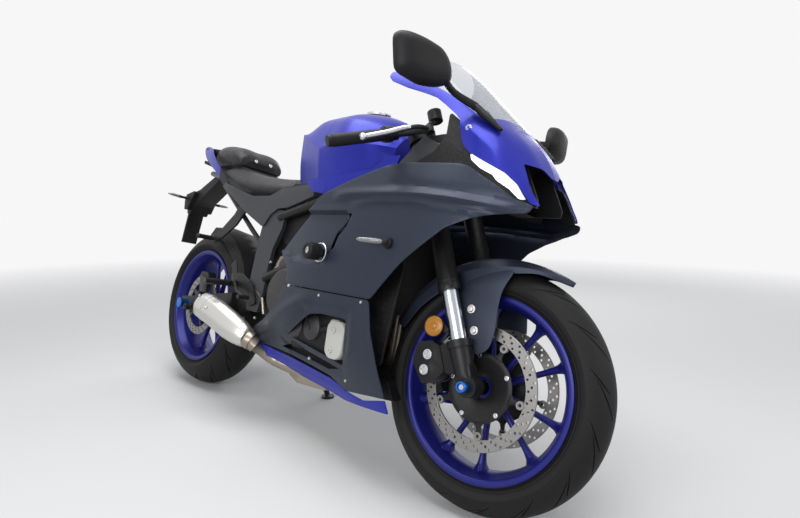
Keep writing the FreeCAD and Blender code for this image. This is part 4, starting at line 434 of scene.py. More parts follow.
def soften(label, width):
    """Stand in for a CAD node with a merged copy that has small round edges."""
    piece = twin_of(nodes[label])
    piece.parent = None
    piece.matrix_world = nodes[label].matrix_world
    merge_and_smooth(piece)
    if width:
        round_edges(piece, width, angle=35)
    hand_over(piece, label + "_soft", label, NODE_FINISHES[label], (label,))


SOFT_NODES = {
    "fork_feet": 0.0015, "triple_clamps": 0.0015, "handlebars": 0.001, "hand_controls": 0.0008,
    "front_calipers": 0.002, "main_frame": 0, "centre_braces": 0.0015, "subframe": 0.0005, "engine": 0.0025,
    "swingarm": 0.002, "rear_axle": 0.0006, "rear_shock": 0, "rear_caliper": 0.002, "radiator": 0.001,
    "exhaust_pipes": 0, "side_stand": 0.001, "filler_lid": 0.001, "seat_side_covers": 0.0008,
    "tail_lamp": 0.001, "plate_holder": 0.001, "cockpit": 0.0008, "footrest_plates": 0.0012,
    "coolant_reservoir": 0.003, "hugger": 0.0008, "fork_tubes": 0.0008, "tank_side_covers": 0.0008,
    "rear_sprocket": 0.0004, "chain": 0,
}
for label, width in SOFT_NODES.items():
    soften(label, width)
print("softened:", len(SOFT_NODES))

# %% [markdown]
# ## Skins from rows of points
# Tyres, seats and body panels are all smooth skins over a few drawn lines.
# A flat grid is added, and each of its points is moved to its place on the lines.
# %% Helper: a grid laid over rows of points
GRID_MERGE = 0.000005


def lay_grid(rows, ring=False, caps=False):
    """Rows are lists of (x, y, z) in metres. ring joins both ends of each row, caps close the open ends."""
    across = len(rows[0]) if ring else len(rows[0]) - 1
    along = len(rows) - 1
    clear_selection()
    bpy.ops.mesh.primitive_grid_add(x_subdivisions=across, y_subdivisions=along, size=2)
    sheet = bpy.context.object
    for vertex in sheet.data.vertices:
        column = round((vertex.co.x + 1) / 2 * across) % len(rows[0])
        row = round((vertex.co.y + 1) / 2 * along)
        vertex.co = rows[row][column]
    activate(sheet)
    bpy.ops.object.mode_set(mode="EDIT")
    bpy.ops.mesh.select_all(action="SELECT")
    bpy.ops.mesh.remove_doubles(threshold=GRID_MERGE)
    if caps:
        bpy.ops.mesh.select_all(action="DESELECT")
        bpy.ops.mesh.select_non_manifold()
        bpy.ops.mesh.fill_holes(sides=0)
    bpy.ops.mesh.select_all(action="SELECT")
    bpy.ops.mesh.normals_make_consistent(inside=False)
    bpy.ops.object.mode_set(mode="OBJECT")
    return sheet


def face_along(sheet, axis):
    """Flip an open sheet if its faces look against an axis (0 for x, 1 for y, 2 for z)."""
    if sum(face.normal[axis] * face.area for face in sheet.data.polygons) < 0:
        sheet.data.flip_normals()


def thicken(sheet, wall=0.003):
    """Give a sheet a wall, inward from its face."""
    layer = sheet.modifiers.new("wall", "SOLIDIFY")
    layer.thickness = wall
    layer.offset = -1
    bake_modifiers(sheet)


def join_all(parts):
    clear_selection()
    for part in parts:
        part.select_set(True)
    bpy.context.view_layer.objects.active = parts[0]
    bpy.ops.object.join()
    return parts[0]


def carve(piece, tool, operation="DIFFERENCE"):
    """Cut a piece with another one, which is used up."""
    cut = piece.modifiers.new("carve", "BOOLEAN")
    cut.operation = operation
    cut.object = tool
    cut.solver = "EXACT"
    bake_modifiers(piece)
    bpy.data.objects.remove(tool)


def copy_turned(piece, turn):
    """A copy of a piece, turned by a matrix about the board's origin."""
    twin = twin_of(piece)
    twin.matrix_world = turn @ piece.matrix_world
    return twin

# %% [markdown]
# ## Tyres
# A road tyre is a round crown on a ring, with smooth shoulders, a bead and a few thin moulded rings on its
# side. Its tread is a set of slanted, curved slots. One slot is drawn as a thin blade that follows the
# crown, it is repeated round the wheel, and all the blades are carved out in one go.
# %% Tyre cross-section and slots
BEAD_RADIUS = 0.2193
BEAD_CORNER = 0.003
SIDE_RINGS = ((0.2285, 0.0005), (0.2330, 0.0038), (0.2352, 0.0066), (0.2372, 0.0066), (0.2385, 0.0092))


def tyre_section(radius, crown, half_width, bead_half, steps=22):
    """Closed loop of (radius, sideways) points: bead, side rings, shoulder, crown, and the same back."""
    ring = radius - crown
    edge = math.asin(min(0.985, half_width / crown))
    seat = BEAD_RADIUS + 0.0002
    bead = [(BEAD_RADIUS, -bead_half), (seat, -bead_half + BEAD_CORNER), (seat, bead_half - BEAD_CORNER),
            (BEAD_RADIUS, bead_half)]
    upper = [(reach, bead_half + out) for reach, out in SIDE_RINGS]
    foot, foot_out = SIDE_RINGS[-1]
    shoulder = ring + crown * math.cos(edge)
    for share in (0.35, 0.7):
        out = bead_half + foot_out + (half_width - bead_half - foot_out) * share ** 0.6
        upper.append((foot + (shoulder - foot) * share, out))
    arc = [(ring + crown * math.cos(turn), crown * math.sin(turn))
           for turn in [edge - 2 * edge * step / steps for step in range(steps + 1)]]
    return bead + upper + arc + [(reach, -out) for reach, out in reversed(upper)]


def spin_section(section, steps=160):
    rows = [[(reach * math.cos(turn), out, reach * math.sin(turn)) for reach, out in section]
            for turn in full_turn(steps)]
    return lay_grid(rows + rows[:1], ring=True)


BLADE_LIFT, BLADE_DEPTH = 0.002, 0.0062


def tread_blade(radius, crown, start, end, trail, width, side, steps=12):
    """Thin blade over the crown: start and end are angles from the middle, trail is how far it lags."""
    ring = radius - crown
    rows = []
    for step in range(steps + 1):
        share = step / steps
        lean = side * (start + (end - start) * share)
        turn = trail * share ** 1.25
        half = width * (0.35 + 0.65 * math.sin(math.pi * min(0.97, max(0.03, share)))) / 2
        reach = ring + (crown + BLADE_LIFT) * math.cos(lean)
        sideways = (crown + BLADE_LIFT) * math.sin(lean)
        rows.append([(reach * math.cos(turn + edge / radius), sideways,
                      reach * math.sin(turn + edge / radius))
                     for edge in (-half, half)])
    blade = lay_grid(rows)
    thicken(blade, BLADE_DEPTH)
    return blade


def make_tyre(label, board_matrix, radius, crown, half_width, bead_half, shapes):
    tyre = spin_section(tyre_section(radius, crown, half_width, bead_half))
    blades = []
    for side in (-1, 1):
        for start, end, trail, width, phase in shapes:
            blade = tread_blade(radius, crown, math.radians(start), math.radians(end), trail, width, side)
            for step in range(SLOT_COUNT):
                turn = 2 * math.pi * (step + phase + (0.5 if side > 0 else 0.0)) / SLOT_COUNT
                blades.append(copy_turned(blade, Matrix.Rotation(-turn, 4, "Y")))
            bpy.data.objects.remove(blade)
    carve(tyre, join_all(blades))
    smooth_all(tyre, CAD_SMOOTH)
    install(tyre, board_matrix, label + "_treaded", label, RUBBER, (label,))
    print(label, len(tyre.data.polygons), "faces")


# Slots are (start and end in degrees from the middle, trail, width, phase).
SLOT_COUNT = 15
FRONT_SLOTS = ((8, 52, 0.30, 0.0062, 0.0), (24, 62, 0.20, 0.0050, 0.45))
REAR_SLOTS = ((6, 44, 0.28, 0.0075, 0.0), (22, 56, 0.20, 0.0060, 0.45))
make_tyre("front_tyre", FRONT, FRONT_RADIUS, 0.062, 0.060, 0.0447, FRONT_SLOTS)
make_tyre("rear_tyre", REAR, REAR_RADIUS, 0.095, 0.090, 0.0707, REAR_SLOTS)

# %% [markdown]
# ## Body panels
# A panel is a smooth skin through a few stations along the bike, each a line of (outward, up) in
# millimetres. Its fine details are pressed into the skin or raised from it. Then the skin gets a wall, and
# is trimmed to its outline. The left panel is drawn, and its mirror image makes the right one.
# %% Helpers: smooth skins through stations
def way_through(before, here, after):
    """Direction of a smooth curve at a point, weighted towards the nearer neighbour."""
    back, ahead = (here - before).length, (after - here).length
    if not back:
        return (after - here) / ahead
    if not ahead:
        return (here - before) / back
    return ((here - before) / back * ahead + (after - here) / ahead * back) / (back + ahead)


def curve_through(points, steps, corners=()):
    """Smooth curve through the points, with a sharp corner at each of the numbered ones."""
    points, last, curve = [Vector(point) for point in points], len(points) - 1, []
    for index in range(last):
        start, end = points[index], points[index + 1]
        span = (end - start).length
        before = start if index == 0 or index in corners else points[index - 1]
        after = end if index + 1 == last or index + 1 in corners else points[index + 2]
        leave, arrive = way_through(before, start, end) * span, way_through(start, end, after) * span
        for step in range(steps):
            t = step / steps
            curve.append((2 * t ** 3 - 3 * t ** 2 + 1) * start + (t ** 3 - 2 * t ** 2 + t) * leave +
                         (3 * t ** 2 - 2 * t ** 3) * end + (t ** 3 - t ** 2) * arrive)
    return curve + [points[-1]]


def loft_rows(stations, across, along, corners=(), breaks=()):
    """Rows of points, in metres. corners are sharp across the lines, and breaks are sharp along the bike."""
    lines = [curve_through([(x, y, z) for y, z in line], across, corners) for x, line in stations]
    columns = [curve_through([line[place] for line in lines], along, breaks)
               for place in range(len(lines[0]))]
    return [[column[row] / 1000 for column in columns] for row in range(len(columns[0]))]


def skin_sheet(stations, across=12, along=20, corners=()):
    """Open skin on the left side, with its normals outward."""
    sheet = lay_grid(loft_rows(stations, across, along, corners))
    face_along(sheet, 1)
    return sheet

# %% Helpers: details pressed into a skin
def step_share(value, span):
    share = min(1.0, max(0.0, value / span))
    return share * share * (3 - 2 * share)


def line_distance(point, line):
    """Distance in the side view, in millimetres, from a point to a line of points."""
    nearest = 1e9
    for start, end in zip(line, line[1:]):
        reach = (end - start).length_squared
        share = min(1.0, max(0.0, (point - start).dot(end - start) / reach))
        nearest = min(nearest, (start + (end - start) * share - point).length)
    return nearest


def is_inside(point, outline):
    inside = False
    for start, end in zip(outline, outline[1:] + outline[:1]):
        if (start.y > point.y) != (end.y > point.y):
            if point.x < start.x + (point.y - start.y) / (end.y - start.y) * (end.x - start.x):
                inside = not inside
    return inside


def side_view(vertex):
    return Vector((vertex.co.x, vertex.co.z)) * 1000


def press(sheet, outline, depth, slope):
    """Sink the area inside an outline by a depth, with a soft wall as wide as the slope."""
    outline = [Vector(point) for point in outline]
    for vertex in sheet.data.vertices:
        point = side_view(vertex)
        if is_inside(point, outline):
            vertex.co.y -= depth / 1000 * step_share(line_distance(point, outline + outline[:1]), slope)


FADE_LENGTH = 60


def raise_line(sheet, line, height, width, power=1.6):
    """Raise a ridge along a line, or sink a groove where the height is negative. Both ends fade out."""
    line = [Vector(point) for point in line]
    for vertex in sheet.data.vertices:
        point = side_view(vertex)
        away = line_distance(point, line)
        if away < width:
            fade = step_share(min((point - line[0]).length, (point - line[-1]).length), FADE_LENGTH)
            vertex.co.y += height / 1000 * fade * (1 - away / width) ** power

# %% Helpers: trimming and mirroring a panel
PAST_SIDE = 600


def round_corners(outline, radius, steps=4):
    """Replace each corner of an outline by a short curve."""
    points, curve = [Vector(point) for point in outline], []
    for index, corner in enumerate(points):
        before, after = points[index - 1] - corner, points[(index + 1) % len(points)] - corner
        start = corner + before.normalized() * min(radius, before.length * 0.45)
        end = corner + after.normalized() * min(radius, after.length * 0.45)
        for step in range(steps + 1):
            t = step / steps
            curve.append(start * (1 - t) ** 2 + corner * 2 * t * (1 - t) + end * t ** 2)
    return curve


def prism(outline, low, high, radius=0.0, plane="xz"):
    """Solid block with the given outline in millimetres: side view (xz), front view (yz) or top view (xy)."""
    outline = round_corners(outline, radius) if radius else [Vector(point) for point in outline]
    clear_selection()
    bpy.ops.mesh.primitive_circle_add(vertices=len(outline), fill_type="NGON")
    block = bpy.context.object
    for vertex, point in zip(block.data.vertices, outline):
        place = {"xz": (point.x, low, point.y), "yz": (low, point.x, point.y),
                 "xy": (point.x, point.y, low)}[plane]
        vertex.co = Vector(place) / 1000
    reach = {"xz": (0, high - low, 0), "yz": (high - low, 0, 0), "xy": (0, 0, high - low)}[plane]
    bpy.ops.object.mode_set(mode="EDIT")
    bpy.ops.mesh.select_all(action="SELECT")
    bpy.ops.mesh.extrude_region_move(TRANSFORM_OT_translate={"value": Vector(reach) / 1000})
    bpy.ops.mesh.select_all(action="SELECT")
    bpy.ops.mesh.normals_make_consistent(inside=False)
    bpy.ops.object.mode_set(mode="OBJECT")
    return block


def mirrored(piece):
    """Join a piece with its mirror image on the other side of the bike."""
    twin = twin_of(piece)
    for vertex in twin.data.vertices:
        vertex.co.y = -vertex.co.y
    twin.data.flip_normals()
    return join_all([piece, twin])


def trim(sheet, outline, radius, holes=()):
    """Keep what lies inside an outline in the side view, and cut holes: (outline, corner radius) each."""
    carve(sheet, prism(outline, 0, PAST_SIDE, radius), "INTERSECT")
    for hole, hole_radius in holes:
        carve(sheet, prism(hole, -PAST_SIDE, PAST_SIDE, hole_radius))

# %% [markdown]
# ## Side fairings
# The upper panel carries two character lines that sweep towards the nose, and a recess around the crash
# bobbin. Its lower neighbour has a three-sided opening with a raised frame, and the blue belly closes the
# bottom.
# %% Draw the side, lower and belly panels
FAIRING_CORNERS = (1, 2)
FAIRING_STATIONS = (
    (500, ((150, 840), (160, 750), (160, 716), (166, 600), (168, 450), (150, 330), (132, 266), (118, 205))),
    (640, ((158, 840), (176, 750), (178, 716), (182, 600), (186, 450), (162, 330), (128, 266), (96, 190))),
    (800, ((176, 850), (196, 750), (194, 716), (206, 600), (206, 450), (180, 330), (144, 266), (110, 190))),
    (960, ((188, 850), (210, 748), (204, 716), (216, 600), (212, 450), (192, 330), (164, 266), (134, 186))),
    (1120, ((186, 850), (214, 745), (206, 716), (214, 600), (209, 450), (200, 330), (188, 266), (166, 182))),
    (1280, ((172, 850), (204, 742), (198, 714), (206, 600), (207, 450), (205, 330), (201, 266), (190, 190))),
    (1410, ((150, 830), (176, 728), (172, 704), (180, 600), (186, 450), (190, 330), (190, 266), (184, 190))),
    (1530, ((96, 800), (112, 722), (108, 700), (120, 600), (120, 450), (120, 330), (118, 266), (100, 190))))
SIDE_OUTLINE = ((655, 571), (790, 694), (840, 738), (1001, 793), (1100, 822), (1158, 829), (1330, 824),
                (1356, 816), (1382, 800), (1435, 770), (1473, 744), (1512, 734), (1505, 716), (1440, 704),
                (1389, 690), (1330, 664), (1280, 620), (1223, 568), (1170, 508), (1134, 466), (746, 467),
                (756, 500), (716, 540))
LOWER_OUTLINE = ((738, 463), (1131, 463), (1150, 386), (1190, 298), (1226, 234), (1040, 210), (975, 234),
                 (740, 252), (538, 256), (522, 300), (600, 338), (690, 392))
OPENING = ((742, 312), (880, 394), (937, 402), (1046, 402), (1042, 340), (1030, 274))
BELLY_OUTLINE = ((520, 258), (660, 244), (740, 241), (975, 226), (1050, 212), (1132, 207), (1226, 230),
                 (1240, 200), (1131, 190), (1040, 184), (800, 193), (506, 226))
RECESS = ((560, 571), (731, 553), (823, 538), (903, 536), (928, 545), (940, 572), (951, 588), (962, 625),
          (985, 642), (996, 682), (984, 694), (857, 694), (700, 694), (560, 640))
RECESS_SLOT = ((936, 560), (968, 590), (976, 622), (998, 646), (1012, 688), (984, 688), (964, 656),
               (940, 636), (926, 592))
UPPER_CREASE = ((900, 736), (1010, 742), (1120, 741), (1235, 741), (1337, 736), (1419, 727), (1500, 718))
LOWER_CREASE = ((980, 712), (1120, 722), (1235, 720), (1299, 712), (1374, 706), (1460, 704))
SHOULDER_GROOVE = ((1110, 776), (1200, 766), (1330, 750), (1419, 741), (1500, 728))
RECESS_RIM = ((600, 556), (731, 540), (823, 526), (910, 522), (945, 540), (960, 572))
OPENING_BROW = ((600, 300), (663, 345), (760, 392), (846, 430), (903, 436), (918, 420))
OPENING_BED = ((690, 300), (735, 330), (850, 412), (905, 424), (1072, 428), (1074, 340), (1046, 244),
               (740, 252))
LOW_SLOT = ((690, 268), (960, 252), (1010, 262), (760, 290))
BELLY_CREASE = ((560, 232), (740, 218), (975, 206), (1131, 200))


def side_panel():
    sheet = skin_sheet(FAIRING_STATIONS, corners=FAIRING_CORNERS)
    raise_line(sheet, UPPER_CREASE, 7.5, 17, 0.9)
    raise_line(sheet, LOWER_CREASE, 6.5, 13, 0.9)
    raise_line(sheet, SHOULDER_GROOVE, -5.0, 24)
    press(sheet, RECESS, 22, 9)
    raise_line(sheet, RECESS_RIM, 2.5, 16)
    thicken(sheet)
    trim(sheet, SIDE_OUTLINE, 10, ((RECESS_SLOT, 5),))
    return sheet


def lower_panel():
    sheet = skin_sheet(FAIRING_STATIONS, corners=FAIRING_CORNERS)
    raise_line(sheet, OPENING_BROW, 7, 22, 0.8)
    press(sheet, OPENING_BED, 9, 20)
    thicken(sheet)
    trim(sheet, LOWER_OUTLINE, 10, ((OPENING, 12), (LOW_SLOT, 4)))
    return sheet


def belly_panel():
    sheet = skin_sheet(FAIRING_STATIONS, corners=FAIRING_CORNERS)
    raise_line(sheet, BELLY_CREASE, 3, 16)
    thicken(sheet)
    trim(sheet, BELLY_OUTLINE, 4)
    return sheet


PANELS = (("side_fairings", side_panel, FAIRING_DARK), ("lower_fairings", lower_panel, FAIRING_DARK),
          ("belly_pan", belly_panel, PAINT_BLUE))
for label, draw, material in PANELS:
    half = draw()
    round_edges(half)
    panel = mirrored(half)
    install(panel, CHASSIS, label + "_skin", label, material, (label,))
    print(label, len(panel.data.polygons), "faces")

# %% [markdown]
# ## Nose, lamps and screen
# The cowl is one shell whose two long points run back beside the screen, with a dark many-sided intake
# between its cheeks. A stepped slash of light sits where the cowl meets the side panel.
# %% Draw the cowl and the lamps
NOSE_STATIONS = (
    (1010, ((0, 1200), (60, 1190), (140, 1130), (154, 1104), (160, 1080), (162, 1040), (160, 1000))),
    (1140, ((0, 1150), (60, 1140), (136, 1090), (154, 1062), (161, 1036), (166, 1000), (166, 940))),
    (1240, ((0, 1088), (50, 1080), (128, 1035), (150, 1010), (160, 985), (170, 930), (172, 880))),
    (1320, ((0, 1018), (40, 1008), (100, 985), (136, 958), (160, 926), (172, 872), (176, 820))),
    (1385, ((0, 954), (40, 949), (76, 941), (114, 926), (150, 888), (168, 835), (170, 790))),
    (1450, ((0, 888), (30, 882), (58, 875), (96, 850), (132, 812), (150, 776), (152, 745))),
    (1500, ((0, 802), (22, 798), (40, 794), (68, 784), (94, 768), (110, 752), (114, 735))),
    (1526, ((0, 746), (16, 743), (26, 742), (42, 740), (60, 738), (76, 735), (82, 730))))
COWL_OUTLINE = ((1014, 1112), (1040, 1109), (1122, 1075), (1195, 1042), (1245, 1014), (1297, 979),
                (1321, 962), (1352, 950), (1376, 980), (1480, 890), (1570, 740), (1500, 738), (1471, 778),
                (1441, 804), (1380, 834), (1350, 850), (1329, 868), (1320, 884), (1306, 920), (1300, 940),
                (1277, 958), (1242, 984), (1209, 1007), (1170, 1023), (1095, 1050), (1029, 1079),
                (1012, 1096))
INTAKE = ((-90, 700), (-93, 731), (-108, 774), (-98, 838), (-40, 838), (-14, 822), (14, 822), (40, 838),
          (98, 838), (108, 774), (93, 731), (90, 700))
LAMP = ((1352, 846), (1372, 846), (1438, 814), (1464, 784), (1488, 748), (1478, 746), (1458, 766),
        (1430, 783), (1418, 796), (1386, 811), (1358, 832))
LAMP_BED = ((1340, 856), (1376, 856), (1446, 824), (1480, 786), (1506, 738), (1506, 716), (1440, 740),
            (1340, 806))
CHEEK_CREASE = ((1240, 962), (1330, 915), (1410, 858), (1470, 800), (1500, 750))


def cowl():
    sheet = skin_sheet(NOSE_STATIONS, 10, 16)
    raise_line(sheet, CHEEK_CREASE, 3.5, 26)
    thicken(sheet)
    trim(sheet, COWL_OUTLINE, 5)
    round_edges(sheet)
    shell = mirrored(sheet)
    carve(shell, prism(INTAKE, 1420, 1600, 5, "yz"))
    return shell


def lamp_slash(outline, depth):
    """A piece of the nose's own skin, set a little deeper than the cowl."""
    sheet = skin_sheet(NOSE_STATIONS, 10, 16)
    for vertex in sheet.data.vertices:
        vertex.co.y -= depth
    thicken(sheet, 0.005)
    trim(sheet, outline, 3)
    round_edges(sheet, 0.0012)
    return mirrored(sheet)


install(cowl(), CHASSIS, "front_cowl_skin", "front_cowl", PAINT_BLUE, ("front_cowl",))
install(lamp_slash(LAMP, 0.003), CHASSIS, "lamp_slashes", "front_lamps", LAMP_CLEAR, ("front_lamps",))
install(lamp_slash(LAMP_BED, 0.009), CHASSIS, "lamp_beds", "cockpit", BLACK_PLASTIC)

# %% Draw the screen
SCREEN_ARCS = ((1400, 52, 932, 943), (1300, 118, 968, 1036), (1200, 142, 1026, 1126), (1120, 152, 1072, 1182),
               (1030, 156, 1108, 1220))
SCREEN_OUTLINE = ((1034, 1098), (1150, 1168), (1166, 1168), (1292, 1042), (1400, 950), (1386, 930),
                  (1320, 957), (1243, 1011))


def screen_rows(steps=40):
    """Circular arcs across the bike, one for each station of (x, half width, edge height, crown height)."""
    rows = []
    edges = curve_through([(x, half, edge) for x, half, edge, crown in SCREEN_ARCS], 12)
    crowns = curve_through([(x, crown, 0) for x, half, edge, crown in SCREEN_ARCS], 12)
    for (x, half, edge), middle in zip(edges, crowns):
        crown = middle.y
        rise = crown - edge
        radius = (half * half + rise * rise) / (2 * rise)
        reach = math.acos(1 - rise / radius)
        rows.append([(x / 1000, radius * math.sin(turn) / 1000,
                      (crown - radius + radius * math.cos(turn)) / 1000)
                     for turn in [reach * (2 * step / steps - 1) for step in range(steps + 1)]])
    return rows


screen = lay_grid(screen_rows())
face_along(screen, 2)
thicken(screen)
carve(screen, prism(SCREEN_OUTLINE, -300, 300, 14), "INTERSECT")
round_edges(screen)
install(screen, CHASSIS, "windscreen_pane", "windscreen", SCREEN, ("windscreen",))
print("nose, lamps and screen done")

# %% [markdown]
# ## Tank
# The tank is a closed form with a hard shoulder line, so its bright top and its dark hollow side read apart.
# A round well in its top takes the CAD model's filler.
# %% Draw the tank
FILLER_X, FILLER_RADIUS = 815, 41.5
TANK_STATIONS = (
    (558, ((0, 1000), (60, 998), (98, 982), (92, 880), (76, 800))),
    (600, ((0, 1022), (76, 1010), (114, 966), (106, 872), (92, 798))),
    (650, ((0, 1038), (92, 1018), (131, 944), (122, 862), (110, 800))),
    (744, ((0, 1050), (116, 1010), (161, 902), (154, 852), (146, 798))),
    (860, ((0, 1042), (132, 1000), (177, 914), (158, 860), (148, 806))),
    (970, ((0, 1010), (114, 966), (152, 905), (138, 868), (126, 836))),
    (1026, ((0, 956), (70, 938), (98, 905), (98, 880), (92, 858))))


def whole_lines(stations):
    """Turn half lines, from the top middle down one side, into lines that run over both sides."""
    return [(x, [(-y, z) for y, z in reversed(line[1:])] + list(line)) for x, line in stations]


def closed_form(stations, across, along, corners=(), breaks=()):
    """Closed body over whole stations: the underside joins both lower edges, and both ends are filled."""
    return lay_grid(loft_rows(whole_lines(stations), across, along, corners, breaks), ring=True, caps=True)


tank = closed_form(TANK_STATIONS, 10, 14, corners=(2, 6), breaks=(3,))
well = [(FILLER_X + FILLER_RADIUS * math.cos(turn), FILLER_RADIUS * math.sin(turn)) for turn in full_turn(48)]
carve(tank, prism(well, 1020, 1120, plane="xy"))
round_edges(tank, 0.003, 3, 40)
install(tank, CHASSIS, "fuel_tank_form", "fuel_tank", PAINT_BLUE, ("fuel_tank",))
print("tank", len(tank.data.polygons), "faces")

# %% [markdown]
# ## Turned pieces and swept pieces
# Bolts, bobbins and lenses are turned on a lathe; levers, stems and hoses are sections swept along a curve.
# With these two helpers a fitting takes one line: where it sits, which way it points, and its profile.
# %% Helpers: lathe and sweep
LEFT, RIGHT, UP = (0, 1, 0), (0, -1, 0), (0, 0, 1)
SWEEP_STEPS = 8
RADIUS_SPACING = 20
SCREW = ((-4, 0.0), (-4, 1.0), (1.2, 1.0), (2.6, 0.86), (2.8, 0.56), (1.0, 0.5), (0.8, 0.0))


def lathe(profile, place, axis, steps=24):
    """Turned piece from a profile of (along, radius), about an axis through a place, all in millimetres."""
    turn, place = Vector(axis).to_track_quat("Z", "Y"), Vector(place)
    rows = [[(place + turn @ Vector((radius * math.cos(angle), radius * math.sin(angle), along))) / 1000
             for angle in full_turn(steps)] for along, radius in profile]
    return lay_grid(rows, ring=True)


def screw(place, axis, radius):
    """Screw head whose face stands a little proud of the place."""
    return lathe([(along, share * radius) for along, share in SCREW], place, axis)


def sweep(points, radii, sides=14, squash=1.0, up=UP):
    """Section swept along a smooth curve. The radii belong to the points; squash stretches it along up."""
    path = curve_through(points, SWEEP_STEPS)
    sizes = curve_through([(radius, RADIUS_SPACING * place, 0) for place, radius in enumerate(radii)],
                          SWEEP_STEPS)
    rows = []
    for index, here in enumerate(path):
        along = (path[min(index + 1, len(path) - 1)] - path[max(index - 1, 0)]).normalized()
        side = along.cross(Vector(up)).normalized()
        top = side.cross(along)
        size = sizes[index].x
        rows.append([(here + side * (size * math.cos(turn)) + top * (size * squash * math.sin(turn))) / 1000
                     for turn in full_turn(sides)])
    return lay_grid([[path[0] / 1000] * sides] + rows + [[path[-1] / 1000] * sides], ring=True)


def plate(outline, low, high, radius, edge=0.0012):
    """Flat piece between two distances to the left, with round corners and soft edges."""
    piece = prism(outline, low, high, radius)
    round_edges(piece, edge, 3, 40)
    return piece


def mount(parts, name, label, material, board_matrix=CHASSIS, both=True, stands_for=()):
    """Join parts, mirror them if asked, put them on the bike and let them ride with a CAD node's body."""
    piece = join_all(parts)
    smooth_all(piece)
    if both:
        piece = mirrored(piece)
    install(piece, board_matrix, name, label, material, stands_for)

# %% [markdown]
# ## Mirrors
# Each mirror is a shield-shaped shell that closes to a rounded back, on a slender arm from a long dark boot.
# %% Draw the mirrors
MIRROR_OUTLINE = ((84, 30), (92, 14), (66, -60), (0, -62), (-46, -46), (-80, -22), (-74, 6), (-58, 28),
                  (-30, 44), (20, 44), (60, 38))
MIRROR_SHELLS = ((2, 0.0), (2, 0.9), (0, 0.93), (0, 0.97), (4, 1.0), (14, 0.985), (24, 0.92), (32, 0.8),
                 (38, 0.6), (41, 0.35), (42, 0.0))
GLASS_SHELLS = ((1.4, 0.0), (1.4, 0.88), (2.4, 0.89), (2.4, 0.0))
MIRROR_PLACE = (1283, 308, 1028)
mirror_turn = (Matrix.Translation(MIRROR_PLACE) @ Matrix.Rotation(math.radians(8), 4, "X") @
               Matrix.Rotation(math.radians(15), 4, "Z"))
mirror_edge = round_corners(MIRROR_OUTLINE, 16, 3)


def mirror_shell(shells):
    """Nested rings of the mirror's outline: each is (depth, share of the outline's size)."""
    return lay_grid([[mirror_turn @ Vector((depth, point.x * share, point.y * share)) / 1000
                      for point in mirror_edge] for depth, share in shells], ring=True)


neck = mirror_turn @ Vector((12, -56, -16))
inside_head = neck + (mirror_turn @ Vector((14, -20, -4)) - neck) * 0.4
arm = sweep((inside_head, neck, (1302, 210, 992), (1328, 144, 973)), (13, 9, 7.5, 9), squash=1.2)
boot = sweep(((1322, 146, 980), (1334, 142, 968), (1366, 136, 942), (1400, 128, 914)), (9, 14, 13, 7),
             squash=0.7)
mount([mirror_shell(MIRROR_SHELLS), arm, boot], "mirror_shells", "mirrors", BLACK_PLASTIC,
      stands_for=("mirrors",))
mount([mirror_shell(GLASS_SHELLS)], "mirror_glasses", "mirrors", CHROME)
print("mirrors done")

# %% [markdown]
# ## Indicators and reflectors
# The indicators are slim grey lenses on dark stalks. The amber reflectors sit in black cups behind the fork
# legs.
# %% Draw the indicators and the reflectors
KNOB = ((-10, 0), (-9, 5), (-5, 8.5), (0, 10.5), (5, 8.5), (9, 5), (10, 0))
front_base = lathe(((-14, 0), (-14, 15), (2, 15), (6, 13.5), (8, 9), (8, 0)), (1172, 214, 614), LEFT)
front_knob = lathe(KNOB, (1172, 224, 614), LEFT)
rear_stalk = sweep(((-336, 70, 768), (-338, 92, 768), (-339, 100, 768.5)), (6, 7.5, 8.5), squash=0.8)
mount([front_base, front_knob, rear_stalk], "indicator_stalks", "indicators", BLACK_PLASTIC,
      stands_for=("indicators",))
front_lens = sweep(((1168, 227, 614), (1158, 234, 614), (1132, 245, 613.5), (1108, 255, 613),
                    (1102, 258, 613)), (6, 9, 9.5, 7.5, 3), squash=0.75)
rear_lens = sweep(((-339, 99, 768.5), (-339.5, 112, 769), (-340, 136, 770), (-340.5, 150, 770)),
                  (8.5, 9.5, 8, 3), squash=0.7)
mount([front_lens, rear_lens], "indicator_lenses", "indicators", SMOKE_LENS)
CUP = ((-5, 0), (-5, 25.6), (2, 26.8), (5, 26), (5, 24.8), (3, 24.4), (3, 0))
LENS = ((2.5, 0), (2.5, 24.6), (4.5, 24.6), (6.4, 22), (7.4, 13), (7.4, 9), (6.4, 8), (7.2, 7), (7.4, 0))
CUP_BRACKET = ((-20, 150), (14, 132), (20, 140), (4, 170), (-16, 176))
REFLECTOR_PLACE, REFLECTOR_AXIS = (-16, 130, 158), (0.1, 1, 0)
amber = lathe(LENS, REFLECTOR_PLACE, REFLECTOR_AXIS, 40)
mount([amber], "fork_reflector_lenses", "fork_reflectors", AMBER, FORK)
cup = lathe(CUP, REFLECTOR_PLACE, REFLECTOR_AXIS, 40)
mount([cup, plate(CUP_BRACKET, 122, 127, 5)], "fork_reflector_cups", "fork_reflectors", BLACK_PLASTIC, FORK,
      stands_for=("fork_reflectors",))
print("indicators and reflectors done")

# %% [markdown]
# ## Fasteners and small bright parts
# Eyes find a real machine by its fasteners, so the bright ones in the photograph each have their place.
# %% Screws on the fairings and the fork
FAIRING_SCREWS = ((773, 463, 5), (932, 452, 4), (1105, 455, 4), (861, 262, 4.5), (1056, 240, 4))
fairing_spots = [point * 1000 for row in loft_rows(FAIRING_STATIONS, 8, 10, FAIRING_CORNERS) for point in row]


def fairing_screw(x, z, radius):
    """Screw on the side panel's skin, at the depth of the nearest point of the skin."""
    near = min(fairing_spots, key=lambda point: (point.x - x) ** 2 + (point.z - z) ** 2)
    return screw((x, near.y + 0.4, z), LEFT, radius)


